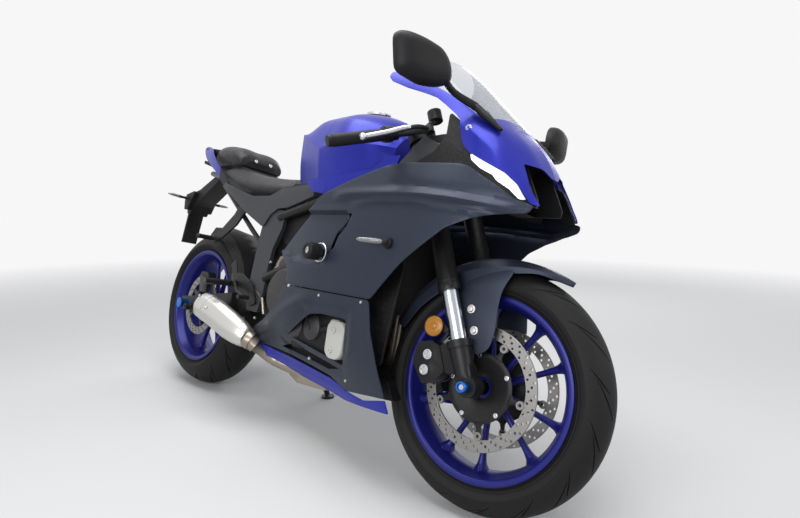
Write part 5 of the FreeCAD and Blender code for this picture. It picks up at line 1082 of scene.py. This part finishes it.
mount([fairing_screw(x, z, radius) for x, z, radius in FAIRING_SCREWS], "fairing_screws", "frame_sliders",
      SILVER)
WASHER_SCREW = ((-3, 0), (-3, 11), (1, 11), (2, 10), (2.2, 7.5), (5, 7.2), (6.4, 6), (6.6, 3.6), (3.5, 3.4),
                (3.5, 0))
FENDER_FACE = 88
fender_screws = [lathe(WASHER_SCREW, (x, FENDER_FACE, z), LEFT) for x, z in ((70, 183), (66, 130))]
mount(fender_screws, "fender_screws", "front_fender", SILVER, FORK)
CAP = ((-2, 0), (-2, 13.5), (3, 13.5), (5, 12.4), (5.4, 9), (4.2, 8), (4.2, 0))
CAP_SLOT = ((-8.5, -1.6), (8.5, -1.6), (8.5, 1.6), (-8.5, 1.6))
CALIPER_FACE = 116
caps = []
for x, z in ((-56, 98), (-74, 64)):
    cap = lathe(CAP, (x, CALIPER_FACE, z), LEFT, 32)
    for turn in (0.4, 0.4 + math.pi / 2):
        slot = prism(CAP_SLOT, -3, 3)
        slot.matrix_world = (Matrix.Translation(Vector((x, CALIPER_FACE + 5.5, z)) / 1000) @
                             Matrix.Rotation(turn, 4, "Y"))
        carve(cap, slot)
    caps.append(cap)
mount(caps, "caliper_caps", "front_calipers", BRIGHT_METAL, FORK)
print("screws done")

# %% Crash bobbins, the bottle's cover and the levers
BOBBIN = ((-30, 0), (-30, 12), (0, 12), (0, 22), (4, 24), (12, 24.5), (34, 24), (40, 22), (43, 17), (43, 11),
          (36, 10.4), (36, 0))
RING = ((-2, 24), (-2, 28.5), (2, 29), (4, 27.6), (4, 24.6), (2, 24), (-2, 24))
HEX = ((0, 0), (0, 10.5), (2.6, 10.5), (3.2, 9.6), (3.2, 5.6), (0.8, 5.2), (0.8, 0))
HEX_COLLAR = ((0, 7), (0, 13.5), (2, 13.5), (2.6, 12.6), (2.6, 8), (0, 7))
BOBBIN_X, BOBBIN_Z = 905, 572
bobbin = lathe(BOBBIN, (BOBBIN_X, 220, BOBBIN_Z), LEFT, 40)
mount([bobbin], "crash_bobbins", "frame_sliders", BLACK_PLASTIC, stands_for=("frame_sliders",))
rings = [lathe(RING, (BOBBIN_X, 212, BOBBIN_Z), LEFT, 40), lathe(HEX, (BOBBIN_X, 257, BOBBIN_Z), LEFT, 6),
         lathe(HEX_COLLAR, (BOBBIN_X, 257.5, BOBBIN_Z), LEFT, 40)]
mount(rings, "crash_bobbin_rings", "frame_sliders", BRIGHT_METAL)
BOTTLE_COVER = ((946, 376), (962, 390), (1006, 390), (1020, 372), (1020, 300), (1002, 284), (966, 284),
                (948, 300))
cover = [plate(BOTTLE_COVER, -176, -160, 12, 0.004), screw((978, -177, 362), RIGHT, 8),
         screw((976, -177, 306), RIGHT, 8)]
mount(cover, "bottle_cover", "coolant_reservoir", BOTTLE, both=False)
LEVER_TIP = (-26, 300, 632)
LEVER_BALL = ((-10, 0), (-9, 5), (-5, 8.8), (0, 10), (5, 8.8), (9, 5), (10, 0))
blade = sweep(((74, 200, 648), (66, 220, 647), (20, 258, 640), LEVER_TIP), (5.5, 6.5, 7, 6.8), squash=0.95)
mount([blade, lathe(LEVER_BALL, LEVER_TIP, LEFT)], "lever_blades", "hand_controls", BRIGHT_METAL, FORK)
print("bobbins, cover and levers done")

# %% [markdown]
# ## Wheels and brakes
# The rim is a turned barrel with a stepped lip, and ten slim spokes that flare where they meet it.
# Each front disc is a drilled ring that floats on five lugs around a black carrier with bright screws.
# %% Draw the rims
def rim_profile(half, bead):
    """Closed cross-section of the barrel as (sideways, radius)."""
    lip = half + 2
    return ((-lip, 226), (-lip - 1, 223), (-lip - 1, 216), (-lip + 2, 211), (-lip + 7, 208.5),
            (-lip + 14, 206), (-lip + 26, 199), (-lip + 34, 196), (0, 195), (lip - 34, 196),
            (lip - 26, 199), (lip - 14, 206), (lip - 7, 208.5), (lip - 2, 211), (lip + 1, 216),
            (lip + 1, 223), (lip, 226), (lip - 4, 227), (lip - 6, 224), (lip - 9, bead), (lip - 30, bead),
            (lip - 40, 204), (-lip + 40, 204), (-lip + 30, bead), (-lip + 9, bead), (-lip + 6, 224),
            (-lip + 4, 227), (-lip, 226))


SPOKE_COUNT = 10
SPOKE_LEAN = 0.045
SPOKE_ALONG = (30, 60, 110, 160, 184, 199)
SPOKE_RADII = (13, 9.5, 7.5, 8, 11.5, 21)
CENTRE = (0, 0, 0)


def rim(half, hub_half, label, board_matrix):
    """Cast rim, with its spokes leaning towards each other in pairs."""
    barrel = lathe(rim_profile(half, 219), CENTRE, LEFT, 144)
    hub = lathe(((-hub_half, 18), (-hub_half, 30), (-hub_half + 8, 36), (-14, 40), (14, 40),
                 (hub_half - 8, 36), (hub_half, 30), (hub_half, 18), (-hub_half, 18)), CENTRE, LEFT, 60)
    spoke = sweep([(along, 0, 0) for along in SPOKE_ALONG], SPOKE_RADII, sides=16, squash=1.25, up=LEFT)
    spokes = []
    for step, turn in enumerate(full_turn(SPOKE_COUNT)):
        lean = SPOKE_LEAN if step % 2 else -SPOKE_LEAN
        spokes.append(copy_turned(spoke, Matrix.Rotation(turn + lean, 4, "Y")))
    bpy.data.objects.remove(spoke)
    # The rims take the wheel blue, whose dark tone is painted shade.
    mount([barrel, hub] + spokes, label + "_cast", label, SHADED_WHEEL_BLUE, board_matrix, both=False,
          stands_for=(label,))


rim(50, 47, "front_rim", FRONT)
rim(76, 61, "rear_rim", REAR)
print("rims done")

# %% Draw the floating discs
DISC_WALL, DISC_CHAMFER = 5, 0.6
DRILL_RADIUS = 3.3
DRILL_ROWS = ((0.2, -0.05), (0.5, 0.02), (0.8, 0.09))


def disc_ring(outer, inner, face, groups):
    """Ring with slanted rows of holes, each row (share of the way out, lag), drilled in one go."""
    back = face + DISC_WALL
    ring = lathe(((face, inner), (face, outer - DISC_CHAMFER), (face + DISC_CHAMFER, outer),
                  (back - DISC_CHAMFER, outer), (back, outer - DISC_CHAMFER), (back, inner),
                  (face, inner)), CENTRE, LEFT, 144)
    drill = ((face - 3, 0), (face - 3, DRILL_RADIUS), (back + 3, DRILL_RADIUS), (back + 3, 0))
    drills = []
    for turn in full_turn(groups):
        for share, lag in DRILL_ROWS:
            radius = inner + (outer - inner) * share
            for angle in (turn + lag, turn + lag + math.pi / groups):
                drills.append(lathe(drill, (radius * math.cos(angle), 0, radius * math.sin(angle)), LEFT, 10))
    carve(ring, join_all(drills))
    return ring


def turned_copies(piece, phase=0.0):
    """Five copies of a piece round the wheel, in its place."""
    copies = [copy_turned(piece, Matrix.Rotation(turn + phase, 4, "Y")) for turn in full_turn(LUG_COUNT)]
    bpy.data.objects.remove(piece)
    return copies


LUG_COUNT = 5
LUG_TURN = 0.55
LUG = ((0, 4), (0, 9.6), (1.2, 10.4), (6.4, 10.4), (7.6, 9.6), (7.6, 6), (6.6, 5.4), (6.6, 4), (0, 4))
BELL = ((48, 26), (48, 44), (54, 56), (59, 74), (59, 83), (61, 85), (64, 85), (65, 83), (65, 72), (60, 56),
        (60, 40), (52, 26), (48, 26))
FRONT_ARM = ((80, -16), (90, -7), (102, -5), (112, -8), (114, 0), (112, 8), (102, 5), (90, 7), (80, 16))
REAR_ARM = ((30, -14), (70, -7), (96, -8), (96, 8), (70, 7), (30, 14))
REAR_BELL = ((-76, 20), (-76, 44), (-62, 40), (-62, 20), (-76, 20))
lugs = turned_copies(lathe(LUG, (112.5, 61, 0), LEFT, 28), LUG_TURN)
mount([disc_ring(149, 121, 62, 15)] + lugs, "front_disc_rings", "front_discs", DISC_STEEL, FRONT,
      stands_for=("front_discs",))
star = [lathe(BELL, CENTRE, LEFT, 60)] + turned_copies(plate(FRONT_ARM, 61, 65, 3), LUG_TURN)
mount(star, "front_disc_carriers", "front_discs", BLACK_METAL, FRONT)
disc_screws = turned_copies(screw((77, 64.5, 0), LEFT, 6.5), LUG_TURN + math.pi / LUG_COUNT)
mount(disc_screws, "front_disc_screws", "front_discs", BRIGHT_METAL, FRONT)
mount([disc_ring(122, 92, -77, 12)], "rear_disc_ring", "rear_disc", DISC_STEEL, REAR, both=False,
      stands_for=("rear_disc",))
rear_star = turned_copies(plate(REAR_ARM, -76, -72, 2)) + [lathe(REAR_BELL, CENTRE, LEFT, 48)]
mount(rear_star, "rear_disc_carrier", "rear_disc", BLACK_METAL, REAR, both=False)
print("discs done")

# %% [markdown]
# ## Front fender and fork legs
# The fender is one skin that wraps the tyre: deep sides behind, drawn to a point in front, with a plate
# down to each leg.
# %% Draw the fender
FENDER_STATIONS = ((35.5, 3, 4, 328), (38, 17, 7, 327), (42, 34, 10, 326), (48, 50, 14, 324),
                   (56, 62, 26, 321), (66, 70, 40, 318), (80, 73, 50, 316), (100, 73, 50, 315),
                   (118, 73, 46, 314), (134, 70, 40, 314))
AXLE_FORWARD = 38
FENDER_STEPS = 8


def fender_section(half, depth, crown):
    """Half width, depth of the sides and the crown's radius, as (sideways, radius) from side to side."""
    side = ((half, crown - depth - 6), (half * 0.97, crown - depth * 0.45 - 5), (half * 0.7, crown - 3))
    return [(-out, radius) for out, radius in side] + [(0, crown + 3)] + list(reversed(side))


def fender_skin():
    """Each station is an angle about the axle, in degrees, and a section."""
    lines = []
    for degrees, half, depth, crown in FENDER_STATIONS:
        turn = math.radians(degrees)
        points = [(AXLE_FORWARD + radius * math.cos(turn), out, radius * math.sin(turn))
                  for out, radius in fender_section(half, depth, crown)]
        lines.append(curve_through(points, FENDER_STEPS, (1, 5)))
    columns = [curve_through([line[place] for line in lines], FENDER_STEPS) for place in range(len(lines[0]))]
    sheet = lay_grid([[column[row] / 1000 for column in columns] for row in range(len(columns[0]))])
    face_along(sheet, 2)
    thicken(sheet)
    round_edges(sheet)
    return sheet


FENDER_PLATE = ((14, 248), (44, 256), (127, 258), (186, 250), (196, 240), (172, 222), (152, 200), (138, 168),
                (122, 118), (96, 78), (66, 70), (34, 84), (16, 120), (10, 190))
side = plate(FENDER_PLATE, 75, 79.5, 14)
FLARE, FLARE_TOP, FLARE_LENGTH = 0.010, 0.235, 0.12
for vertex in side.data.vertices:
    vertex.co.y += FLARE * step_share(FLARE_TOP - vertex.co.z, FLARE_LENGTH)
mount([side], "fender_plates", "front_fender", FAIRING_DARK, FORK)
mount([fender_skin()], "fender_skin", "front_fender", FAIRING_DARK, FORK, both=False,
      stands_for=("front_fender",))

# %% Draw the fork's bright tubes and its feet
LEG = (30, 105, 0)
FOOT_TOP = 112
slider = lathe(((100, 0), (100, 20.6), (246, 20.6), (246, 0)), LEG, UP, 48)
mount([slider], "fork_slider_tubes", "fork_sliders", CHROME, FORK, stands_for=("fork_sliders",))
seal = lathe(((238, 21), (238, 27), (241, 28.6), (250, 28.6), (253, 27.4), (262, 27.2), (262, 21)), LEG, UP,
             48)
mount([seal], "fork_seals", "fork_tubes", BLACK_METAL, FORK)
above_feet = prism(((-40, -200), (80, -200), (80, 200), (-40, 200)), FOOT_TOP, 260, plane="xy")
above_feet.matrix_world = FORK
carve(bpy.data.objects["fork_feet_soft"], above_feet)
collar = lathe(((92, 20.8), (92, 27), (106, 27.4), (FOOT_TOP, 26), (114, 23.6), (FOOT_TOP, 20.8)), LEG, UP,
               48)
mount([collar], "fork_foot_collars", "fork_feet", BLACK_METAL, FORK)
AXLE_END = ((-6, 0), (-6, 11), (10, 11), (12, 13.5), (22, 13.5), (24, 12), (24, 9), (19, 8), (18, 0))
AXLE_SCREW = ((16.5, 0), (16.5, 6.5), (20, 6), (20, 0))
AXLE_HALF = 128
end_place = (AXLE_FORWARD, AXLE_HALF, 0)
mount([lathe(AXLE_END, end_place, LEFT, 36)], "front_axle_bobbins", "front_axle", ANODISED, FORK,
      stands_for=("front_axle",))
mount([lathe(AXLE_SCREW, end_place, LEFT, 24)], "front_axle_screws", "front_axle", BRIGHT_METAL, FORK)
shaft = lathe(((-AXLE_HALF, 0), (-AXLE_HALF, 10.8), (AXLE_HALF, 10.8), (AXLE_HALF, 0)), (AXLE_FORWARD, 0, 0),
              LEFT, 32)
mount([shaft], "front_axle_shaft", "front_axle", BLACK_METAL, FORK, both=False)
print("fork done")

# %% [markdown]
# ## Muffler
# The can is a rounded eight-sided tube that tapers to both ends, with a seam, a recessed tail pipe and
# small screws.
# %% Draw the muffler
CAN_STATIONS = ((524, -158, 261, 0, 0), (523.5, -158, 261, 27, 27), (510, -160, 265, 34, 38),
                (478, -166, 275, 40, 46), (430, -174, 289, 42, 51), (350, -190, 318, 42, 52),
                (300, -199, 331, 42, 51), (272, -204, 337, 40, 48), (260, -206, 340, 32, 38),
                (257, -206.5, 340.5, 20, 24), (266, -205, 338, 18, 21), (276, -203, 336, 0, 0))
CORNER_DEPTH = 0.035


def can_rows(stations, sides=48):
    """Rounded eight-sided rings across the can's direction, from (x, y, z, half width, half height)."""
    along = (Vector(CAN_STATIONS[8][:3]) - Vector(CAN_STATIONS[0][:3])).normalized()
    across = (Vector((0, 1, 0)) - along * along.y).normalized()
    upward = along.cross(across)
    rows = []
    for x, y, z, wide, high in stations:
        ring = []
        for turn in full_turn(sides):
            reach = 1 - CORNER_DEPTH * (1 - abs(math.cos(4 * turn)))
            spot = across * (wide * reach * math.cos(turn)) + upward * (high * reach * math.sin(turn))
            ring.append((Vector((x, y, z)) + spot) / 1000)
        rows.append(ring)
    return rows


can = lay_grid(can_rows(CAN_STATIONS), ring=True)
add_bevel(can, 0.002, 2, 40)
mount([can], "muffler_can", "muffler", SILVER, both=False, stands_for=("muffler",))
SEAM_RINGS = ((314, -196.5, 328, 42.8, 52), (308, -197.6, 329.5, 42.8, 52), (302, -198.7, 330.7, 42.8, 51.8))
CLAMP = ((-12, 27), (-12, 30), (-6, 31.5), (6, 31.5), (12, 30), (12, 27))
seam = lay_grid(can_rows(SEAM_RINGS), ring=True)
thicken(seam, 0.0012)
mount([seam], "muffler_seam", "muffler", SILVER, both=False)
clamp = lathe(CLAMP, (528, -151, 257), (0.78, 0.5, -0.36), 40)
mount([clamp], "muffler_clamp", "exhaust_pipes", PIPE_STEEL, both=False)
can_screws = [screw((345, -233, 335), (-0.2, -1, 0.15), 6), screw((286, -232, 372), (-0.2, -1, 0.5), 5)]
mount(can_screws, "muffler_screws", "muffler", BRIGHT_METAL, both=False)
print("muffler done")

# %% [markdown]
# ## Seats
# Both pads are foam under vinyl: a full form, blown up a little as cloth so that its skin is taut and soft.
# %% Draw the seats
RIDER_STATIONS = ((34, ((0, 893), (92, 884), (112, 854), (100, 826))),
                  (120, ((0, 882), (102, 872), (124, 840), (106, 812))),
                  (210, ((0, 862), (106, 854), (130, 820), (112, 788))),
                  (345, ((0, 838), (102, 830), (128, 796), (112, 764))),
                  (462, ((0, 832), (84, 822), (114, 790), (104, 766))),
                  (560, ((0, 842), (56, 822), (92, 796), (88, 784))))
PILLION_STATIONS = (
    (-146, ((0, 972), (40, 966), (56, 950), (52, 924))), (-100, ((0, 985), (56, 978), (74, 956), (68, 906))),
    (-40, ((0, 987), (74, 980), (96, 955), (88, 896))), (70, ((0, 974), (92, 966), (112, 938), (102, 896))),
    (130, ((0, 960), (90, 952), (108, 926), (100, 892))), (158, ((0, 940), (80, 932), (98, 914), (92, 892))))
FACE_SIZE = 0.006
CLOTH_PRESSURE, CLOTH_FRAMES = 4, 20


def puff(piece, cap):
    """Blow the form up as cloth, and keep every point within a small distance of where it was."""
    before = [vertex.co.copy() for vertex in piece.data.vertices]
    cloth = piece.modifiers.new("cloth", "CLOTH")
    cloth.settings.use_pressure = True
    cloth.settings.uniform_pressure_force = CLOTH_PRESSURE
    cloth.settings.effector_weights.gravity = 0
    for frame_number in range(1, CLOTH_FRAMES + 1):
        bpy.context.scene.frame_set(frame_number)
    bake_modifiers(piece)
    bpy.context.scene.frame_set(1)
    for vertex, start in zip(piece.data.vertices, before):
        move = vertex.co - start
        if move.length > cap:
            vertex.co = start + move.normalized() * cap


def seat_pad(stations, name, label, cap):
    """Round the form, give it even faces, puff it up, and smooth what the faces leave."""
    pad = closed_form(stations, 8, 8)
    add_bevel(pad, 0.012, 3, 50)
    remesh = pad.modifiers.new("even faces", "REMESH")
    remesh.mode = "VOXEL"
    remesh.voxel_size = FACE_SIZE
    bake_modifiers(pad)
    puff(pad, cap)
    relax = pad.modifiers.new("relax", "SMOOTH")
    relax.iterations = 4
    finer = pad.modifiers.new("finer", "SUBSURF")
    finer.levels = 1
    bake_modifiers(pad)
    smooth_all(pad, 40)
    install(pad, CHASSIS, name, label, VINYL, (label,))
    print(name, len(pad.data.polygons), "faces")


seat_pad(RIDER_STATIONS, "rider_pad", "rider_seat", 0.006)
seat_pad(PILLION_STATIONS, "pillion_pad", "pillion_seat", 0.005)

# %% [markdown]
# ## What shows through the gaps
# A dressed sport bike is never see-through: airbox, inner panels, hoses and guards fill the space behind
# the fairing. They are dark and plain, so they only have to stop the light and catch a few soft highlights.
# %% Fill the gaps behind the panels
def filler(outline, low, high, radius):
    return plate(outline, low, high, radius, 0.002)


AIRBOX = ((600, 800), (1010, 850), (1060, 800), (1060, 700), (980, 640), (840, 600), (700, 560), (560, 600),
          (548, 700))
TRAY = ((534, 812), (700, 806), (724, 700), (660, 560), (580, 470), (524, 470), (500, 640))
SEAT_BASE = ((128, 832), (210, 812), (345, 794), (462, 794), (560, 804), (730, 800), (730, 764), (600, 722),
             (540, 716), (498, 694), (462, 652), (300, 714), (190, 768), (132, 802))
SHOCK_GUARD = ((462, 440), (486, 640), (520, 720), (640, 740), (670, 700), (650, 520), (560, 430))
PILLION_BASE = ((-160, 940), (-60, 910), (120, 902), (200, 876), (200, 852), (60, 862), (-60, 886),
                (-160, 922))
SIDE_GUARD = ((700, 440), (1120, 640), (1180, 560), (1150, 300), (760, 280))
KEEL_GUARD = ((520, 252), (720, 238), (1080, 205), (1180, 214), (1150, 260), (740, 300), (560, 300))
fill = [filler(AIRBOX, -112, 112, 30), filler(TRAY, -92, 92, 20), filler(SIDE_GUARD, -150, -140, 10),
        filler(SIDE_GUARD, 140, 150, 10), filler(SEAT_BASE, -96, 96, 6), filler(SHOCK_GUARD, -99, -94, 6),
        filler(SHOCK_GUARD, 94, 99, 6), filler(PILLION_BASE, -82, 82, 6), filler(KEEL_GUARD, -112, 112, 10)]
mount(fill, "inner_panels", "engine", BLACK_PLASTIC, both=False)

# %% Hoses, cables and engine covers
HOSES = ((((700, -128, 520), (760, -150, 480), (820, -156, 420), (860, -150, 330)), (11, 12, 12, 11)),
         (((640, -110, 600), (690, -132, 560), (760, -140, 560), (850, -138, 600)), (8, 9, 9, 8)),
         (((560, -96, 420), (600, -118, 380), (650, -128, 330), (700, -126, 300)), (5, 5, 5, 5)),
         (((1000, -120, 700), (1064, -128, 640), (1080, -120, 540), (1060, -108, 420)), (16, 17, 17, 16)))
mount([sweep(points, radii) for points, radii in HOSES], "hoses", "engine", BLACK_PLASTIC, both=False)
LARGE_COVER = ((0, 0), (0, 62), (10, 60), (18, 50), (20, 30), (20, 0))
SMALL_COVER = ((0, 0), (0, 40), (8, 38), (14, 28), (14, 0))
COVER_X, COVER_Z = 740, 350
covers = [lathe(LARGE_COVER, (COVER_X, -138, COVER_Z), RIGHT, 48),
          lathe(SMALL_COVER, (850, -148, 352), RIGHT, 40)]
mount(covers, "engine_covers", "engine", ENGINE_GREY, both=False)
bolts = [screw((COVER_X + 55 * math.cos(turn), -140, COVER_Z + 55 * math.sin(turn)), RIGHT, 5)
         for turn in full_turn(8)]
FOOT_SCREWS = ((505, 442), (487, 419), (474, 393), (402, 409), (498, 330), (426, 318), (535, 527))
for x, z in FOOT_SCREWS:
    bolts.append(screw((x, -128, z), RIGHT, 4.5))
mount(bolts, "engine_bolts", "engine", SILVER, both=False)
CLUTCH = ((-20, 0), (-20, 50), (0, 50), (6, 44), (8, 30), (6, 22), (10, 18), (10, 0))
CLUTCH_X, CLUTCH_Z = 606, 510
clutch = [lathe(CLUTCH, (CLUTCH_X, -118, CLUTCH_Z), RIGHT, 48)]
for turn in full_turn(6):
    clutch.append(screw((CLUTCH_X + 42 * math.cos(turn), -123, CLUTCH_Z + 42 * math.sin(turn)), RIGHT, 5))
clutch.append(sweep(((430, -122, 470), (470, -126, 430), (520, -126, 400), (540, -122, 350)), (6, 6, 6, 6)))
mount(clutch, "clutch_covers", "engine", PIPE_STEEL, both=False)

# %% [markdown]
# ## Cockpit sides and tail
# Grey inner panels close the space between the screen and the side fairing. At the tail, slim blades run
# back beside the lamp over a black tray.
# %% Draw the cockpit's side panels
PANEL_LOW = ((1100, 842), (1178, 913), (1236, 884), (1306, 880), (1338, 829), (1330, 810), (1110, 812))
PANEL_HIGH = ((1178, 909), (1238, 884), (1308, 882), (1304, 908), (1238, 912))
FASTENER = ((-2, 0), (-2, 9), (2, 9), (3.4, 7.6), (3.4, 3), (1, 2.6), (1, 0))
mount([plate(PANEL_LOW, 148, 151, 4)], "cockpit_sides_low", "cockpit", TRIM_GREY)
mount([plate(PANEL_HIGH, 144, 147, 4)], "cockpit_sides_high", "cockpit", BLACK_PLASTIC)
mount([lathe(FASTENER, (1329, 161, 915), (0.3, 0.9, 0.3), 28)], "cowl_fasteners", "front_cowl", BRIGHT_METAL)
print("gaps, covers and cockpit sides done")

# %% Draw the tail
TAIL_STATIONS = ((-330, ((36, 1030), (44, 1000), (40, 960), (34, 920))),
                 (-180, ((60, 1010), (84, 975), (84, 925), (70, 890))),
                 (0, ((96, 975), (120, 935), (122, 890), (118, 840))),
                 (180, ((108, 930), (134, 880), (136, 840), (132, 770))))
BLADE = ((-234, 1002), (-200, 1002), (-114, 979), (0, 914), (64, 876), (66, 834), (7, 868), (-134, 930),
         (-224, 990))
REAR_PANEL = ((65, 874), (130, 838), (152, 812), (122, 796), (67, 832))
TAIL_TRAY = ((-200, 936), (-60, 902), (60, 882), (60, 870), (-60, 888), (-200, 922))
INNER_TAIL = ((-200, 990), (-130, 984), (-60, 974), (60, 930), (90, 878), (0, 886), (-130, 934))
PAD_SCREW = ((-4, 0), (-4, 7), (1.5, 7), (2.5, 5.5), (2.5, 2.5), (1, 2), (1, 0))
TAIL_SKINS = ((BLADE, "tail_blades", PAINT_BLUE, ("tail_cowl",)),
              (REAR_PANEL, "tail_panels", BLACK_PLASTIC, ()))
for outline, name, material, stands_for in TAIL_SKINS:
    sheet = skin_sheet(TAIL_STATIONS)
    thicken(sheet, 0.004)
    trim(sheet, outline, 5)
    round_edges(sheet, 0.0012)
    install(mirrored(sheet), CHASSIS, name, "tail_cowl", material, stands_for)
mount([plate(INNER_TAIL, 70, 80, 6)], "tail_inner_panels", "tail_cowl", BLACK_PLASTIC)
mount([plate(TAIL_TRAY, -76, 76, 3)], "tail_tray", "tail_cowl", BLACK_PLASTIC, both=False)
mount([lathe(PAD_SCREW, (163, 34, 925), (1, 0, 0.25), 24)], "pillion_screws", "pillion_seat", BRIGHT_METAL)
print("tail done")

# %% [markdown]
# ## Floor, light and background
# The floor is pale and plain, and it fades into the backdrop further out. The backdrop's white is only what
# the camera, the mirrors and the glass see, so no extra light falls on the bike. Four soft lamps do the
# rest: one wide above, one in front and one on each side.
# %% Lay the floor
FLOOR_GREY, STUDIO_GREY, BACKDROP_WHITE = (0.62, 0.62, 0.62, 1), (0.37, 0.38, 0.40, 1), (0.93, 0.93, 0.94, 1)
FADE_START, FADE_END = 1.6, 6.0
clear_selection()
bpy.ops.mesh.primitive_plane_add(size=120, location=(0, 0, -0.0005))
floor = bpy.context.object
floor.name = "floor"
floor_finish = bpy.data.materials.new("pale floor")
floor_finish.use_nodes = True
floor_tree = floor_finish.node_tree
floor_shader = floor_tree.nodes["Principled BSDF"]
floor_shader.inputs["Base Color"].default_value = FLOOR_GREY
floor_shader.inputs["Roughness"].default_value = 0.8
place, away = floor_tree.nodes.new("ShaderNodeTexCoord"), floor_tree.nodes.new("ShaderNodeVectorMath")
away.operation = "LENGTH"
fade = remap(floor_tree, FADE_START, FADE_END)
glow, mix = floor_tree.nodes.new("ShaderNodeEmission"), floor_tree.nodes.new("ShaderNodeMixShader")
glow.inputs["Color"].default_value = BACKDROP_WHITE
floor_tree.links.new(place.outputs["Object"], away.inputs[0])
floor_tree.links.new(away.outputs["Value"], fade.inputs["Value"])
floor_tree.links.new(fade.outputs["Result"], mix.inputs["Fac"])
floor_tree.links.new(floor_shader.outputs["BSDF"], mix.inputs[1])
floor_tree.links.new(glow.outputs["Emission"], mix.inputs[2])
floor_tree.links.new(mix.outputs["Shader"], floor_tree.nodes["Material Output"].inputs["Surface"])
floor.data.materials.append(floor_finish)

# %% Light the room
def add_lamp(name, size_m, power, place, target):
    data = bpy.data.lights.new(name, "AREA")
    data.shape = "RECTANGLE"
    data.size, data.size_y = size_m
    data.energy = power
    lamp = bpy.data.objects.new(name, data)
    bpy.context.scene.collection.objects.link(lamp)
    direction = Vector(target) - Vector(place)
    lamp.matrix_world = Matrix.Translation(place) @ direction.to_track_quat("-Z", "Y").to_matrix().to_4x4()


add_lamp("ceiling lamp", (3.2, 1.6), 78, (0.1, -0.4, 3.0), (0.1, 0.0, 0.5))
add_lamp("right lamp", (2.2, 1.2), 48, (1.2, -3.0, 1.6), (0.2, 0.0, 0.6))
add_lamp("front lamp", (1.6, 1.2), 18, (3.4, 0.6, 1.7), (0.4, 0.0, 0.6))
add_lamp("left lamp", (2.2, 1.2), 27, (-1.0, 3.0, 1.8), (0.0, 0.0, 0.6))
world = bpy.data.worlds.new("studio")
bpy.context.scene.world = world
world.use_nodes = True
world_nodes, world_links = world.node_tree.nodes, world.node_tree.links
background = world_nodes["Background"]
background.inputs["Color"].default_value = STUDIO_GREY
background.inputs["Strength"].default_value = 1.0
backdrop = world_nodes.new("ShaderNodeBackground")
backdrop.inputs["Color"].default_value = BACKDROP_WHITE
rays = world_nodes.new("ShaderNodeLightPath")
seen, seen_too = world_nodes.new("ShaderNodeMath"), world_nodes.new("ShaderNodeMath")
seen.operation = seen_too.operation = "MAXIMUM"
blend = world_nodes.new("ShaderNodeMixShader")
world_links.new(rays.outputs["Is Camera Ray"], seen.inputs[0])
world_links.new(rays.outputs["Is Transmission Ray"], seen.inputs[1])
world_links.new(seen.outputs["Value"], seen_too.inputs[0])
world_links.new(rays.outputs["Is Glossy Ray"], seen_too.inputs[1])
world_links.new(seen_too.outputs["Value"], blend.inputs["Fac"])
world_links.new(background.outputs["Background"], blend.inputs[1])
world_links.new(backdrop.outputs["Background"], blend.inputs[2])
world_links.new(blend.outputs["Shader"], world_nodes["World Output"].inputs["Surface"])
bpy.context.scene.view_settings.view_transform = "Standard"
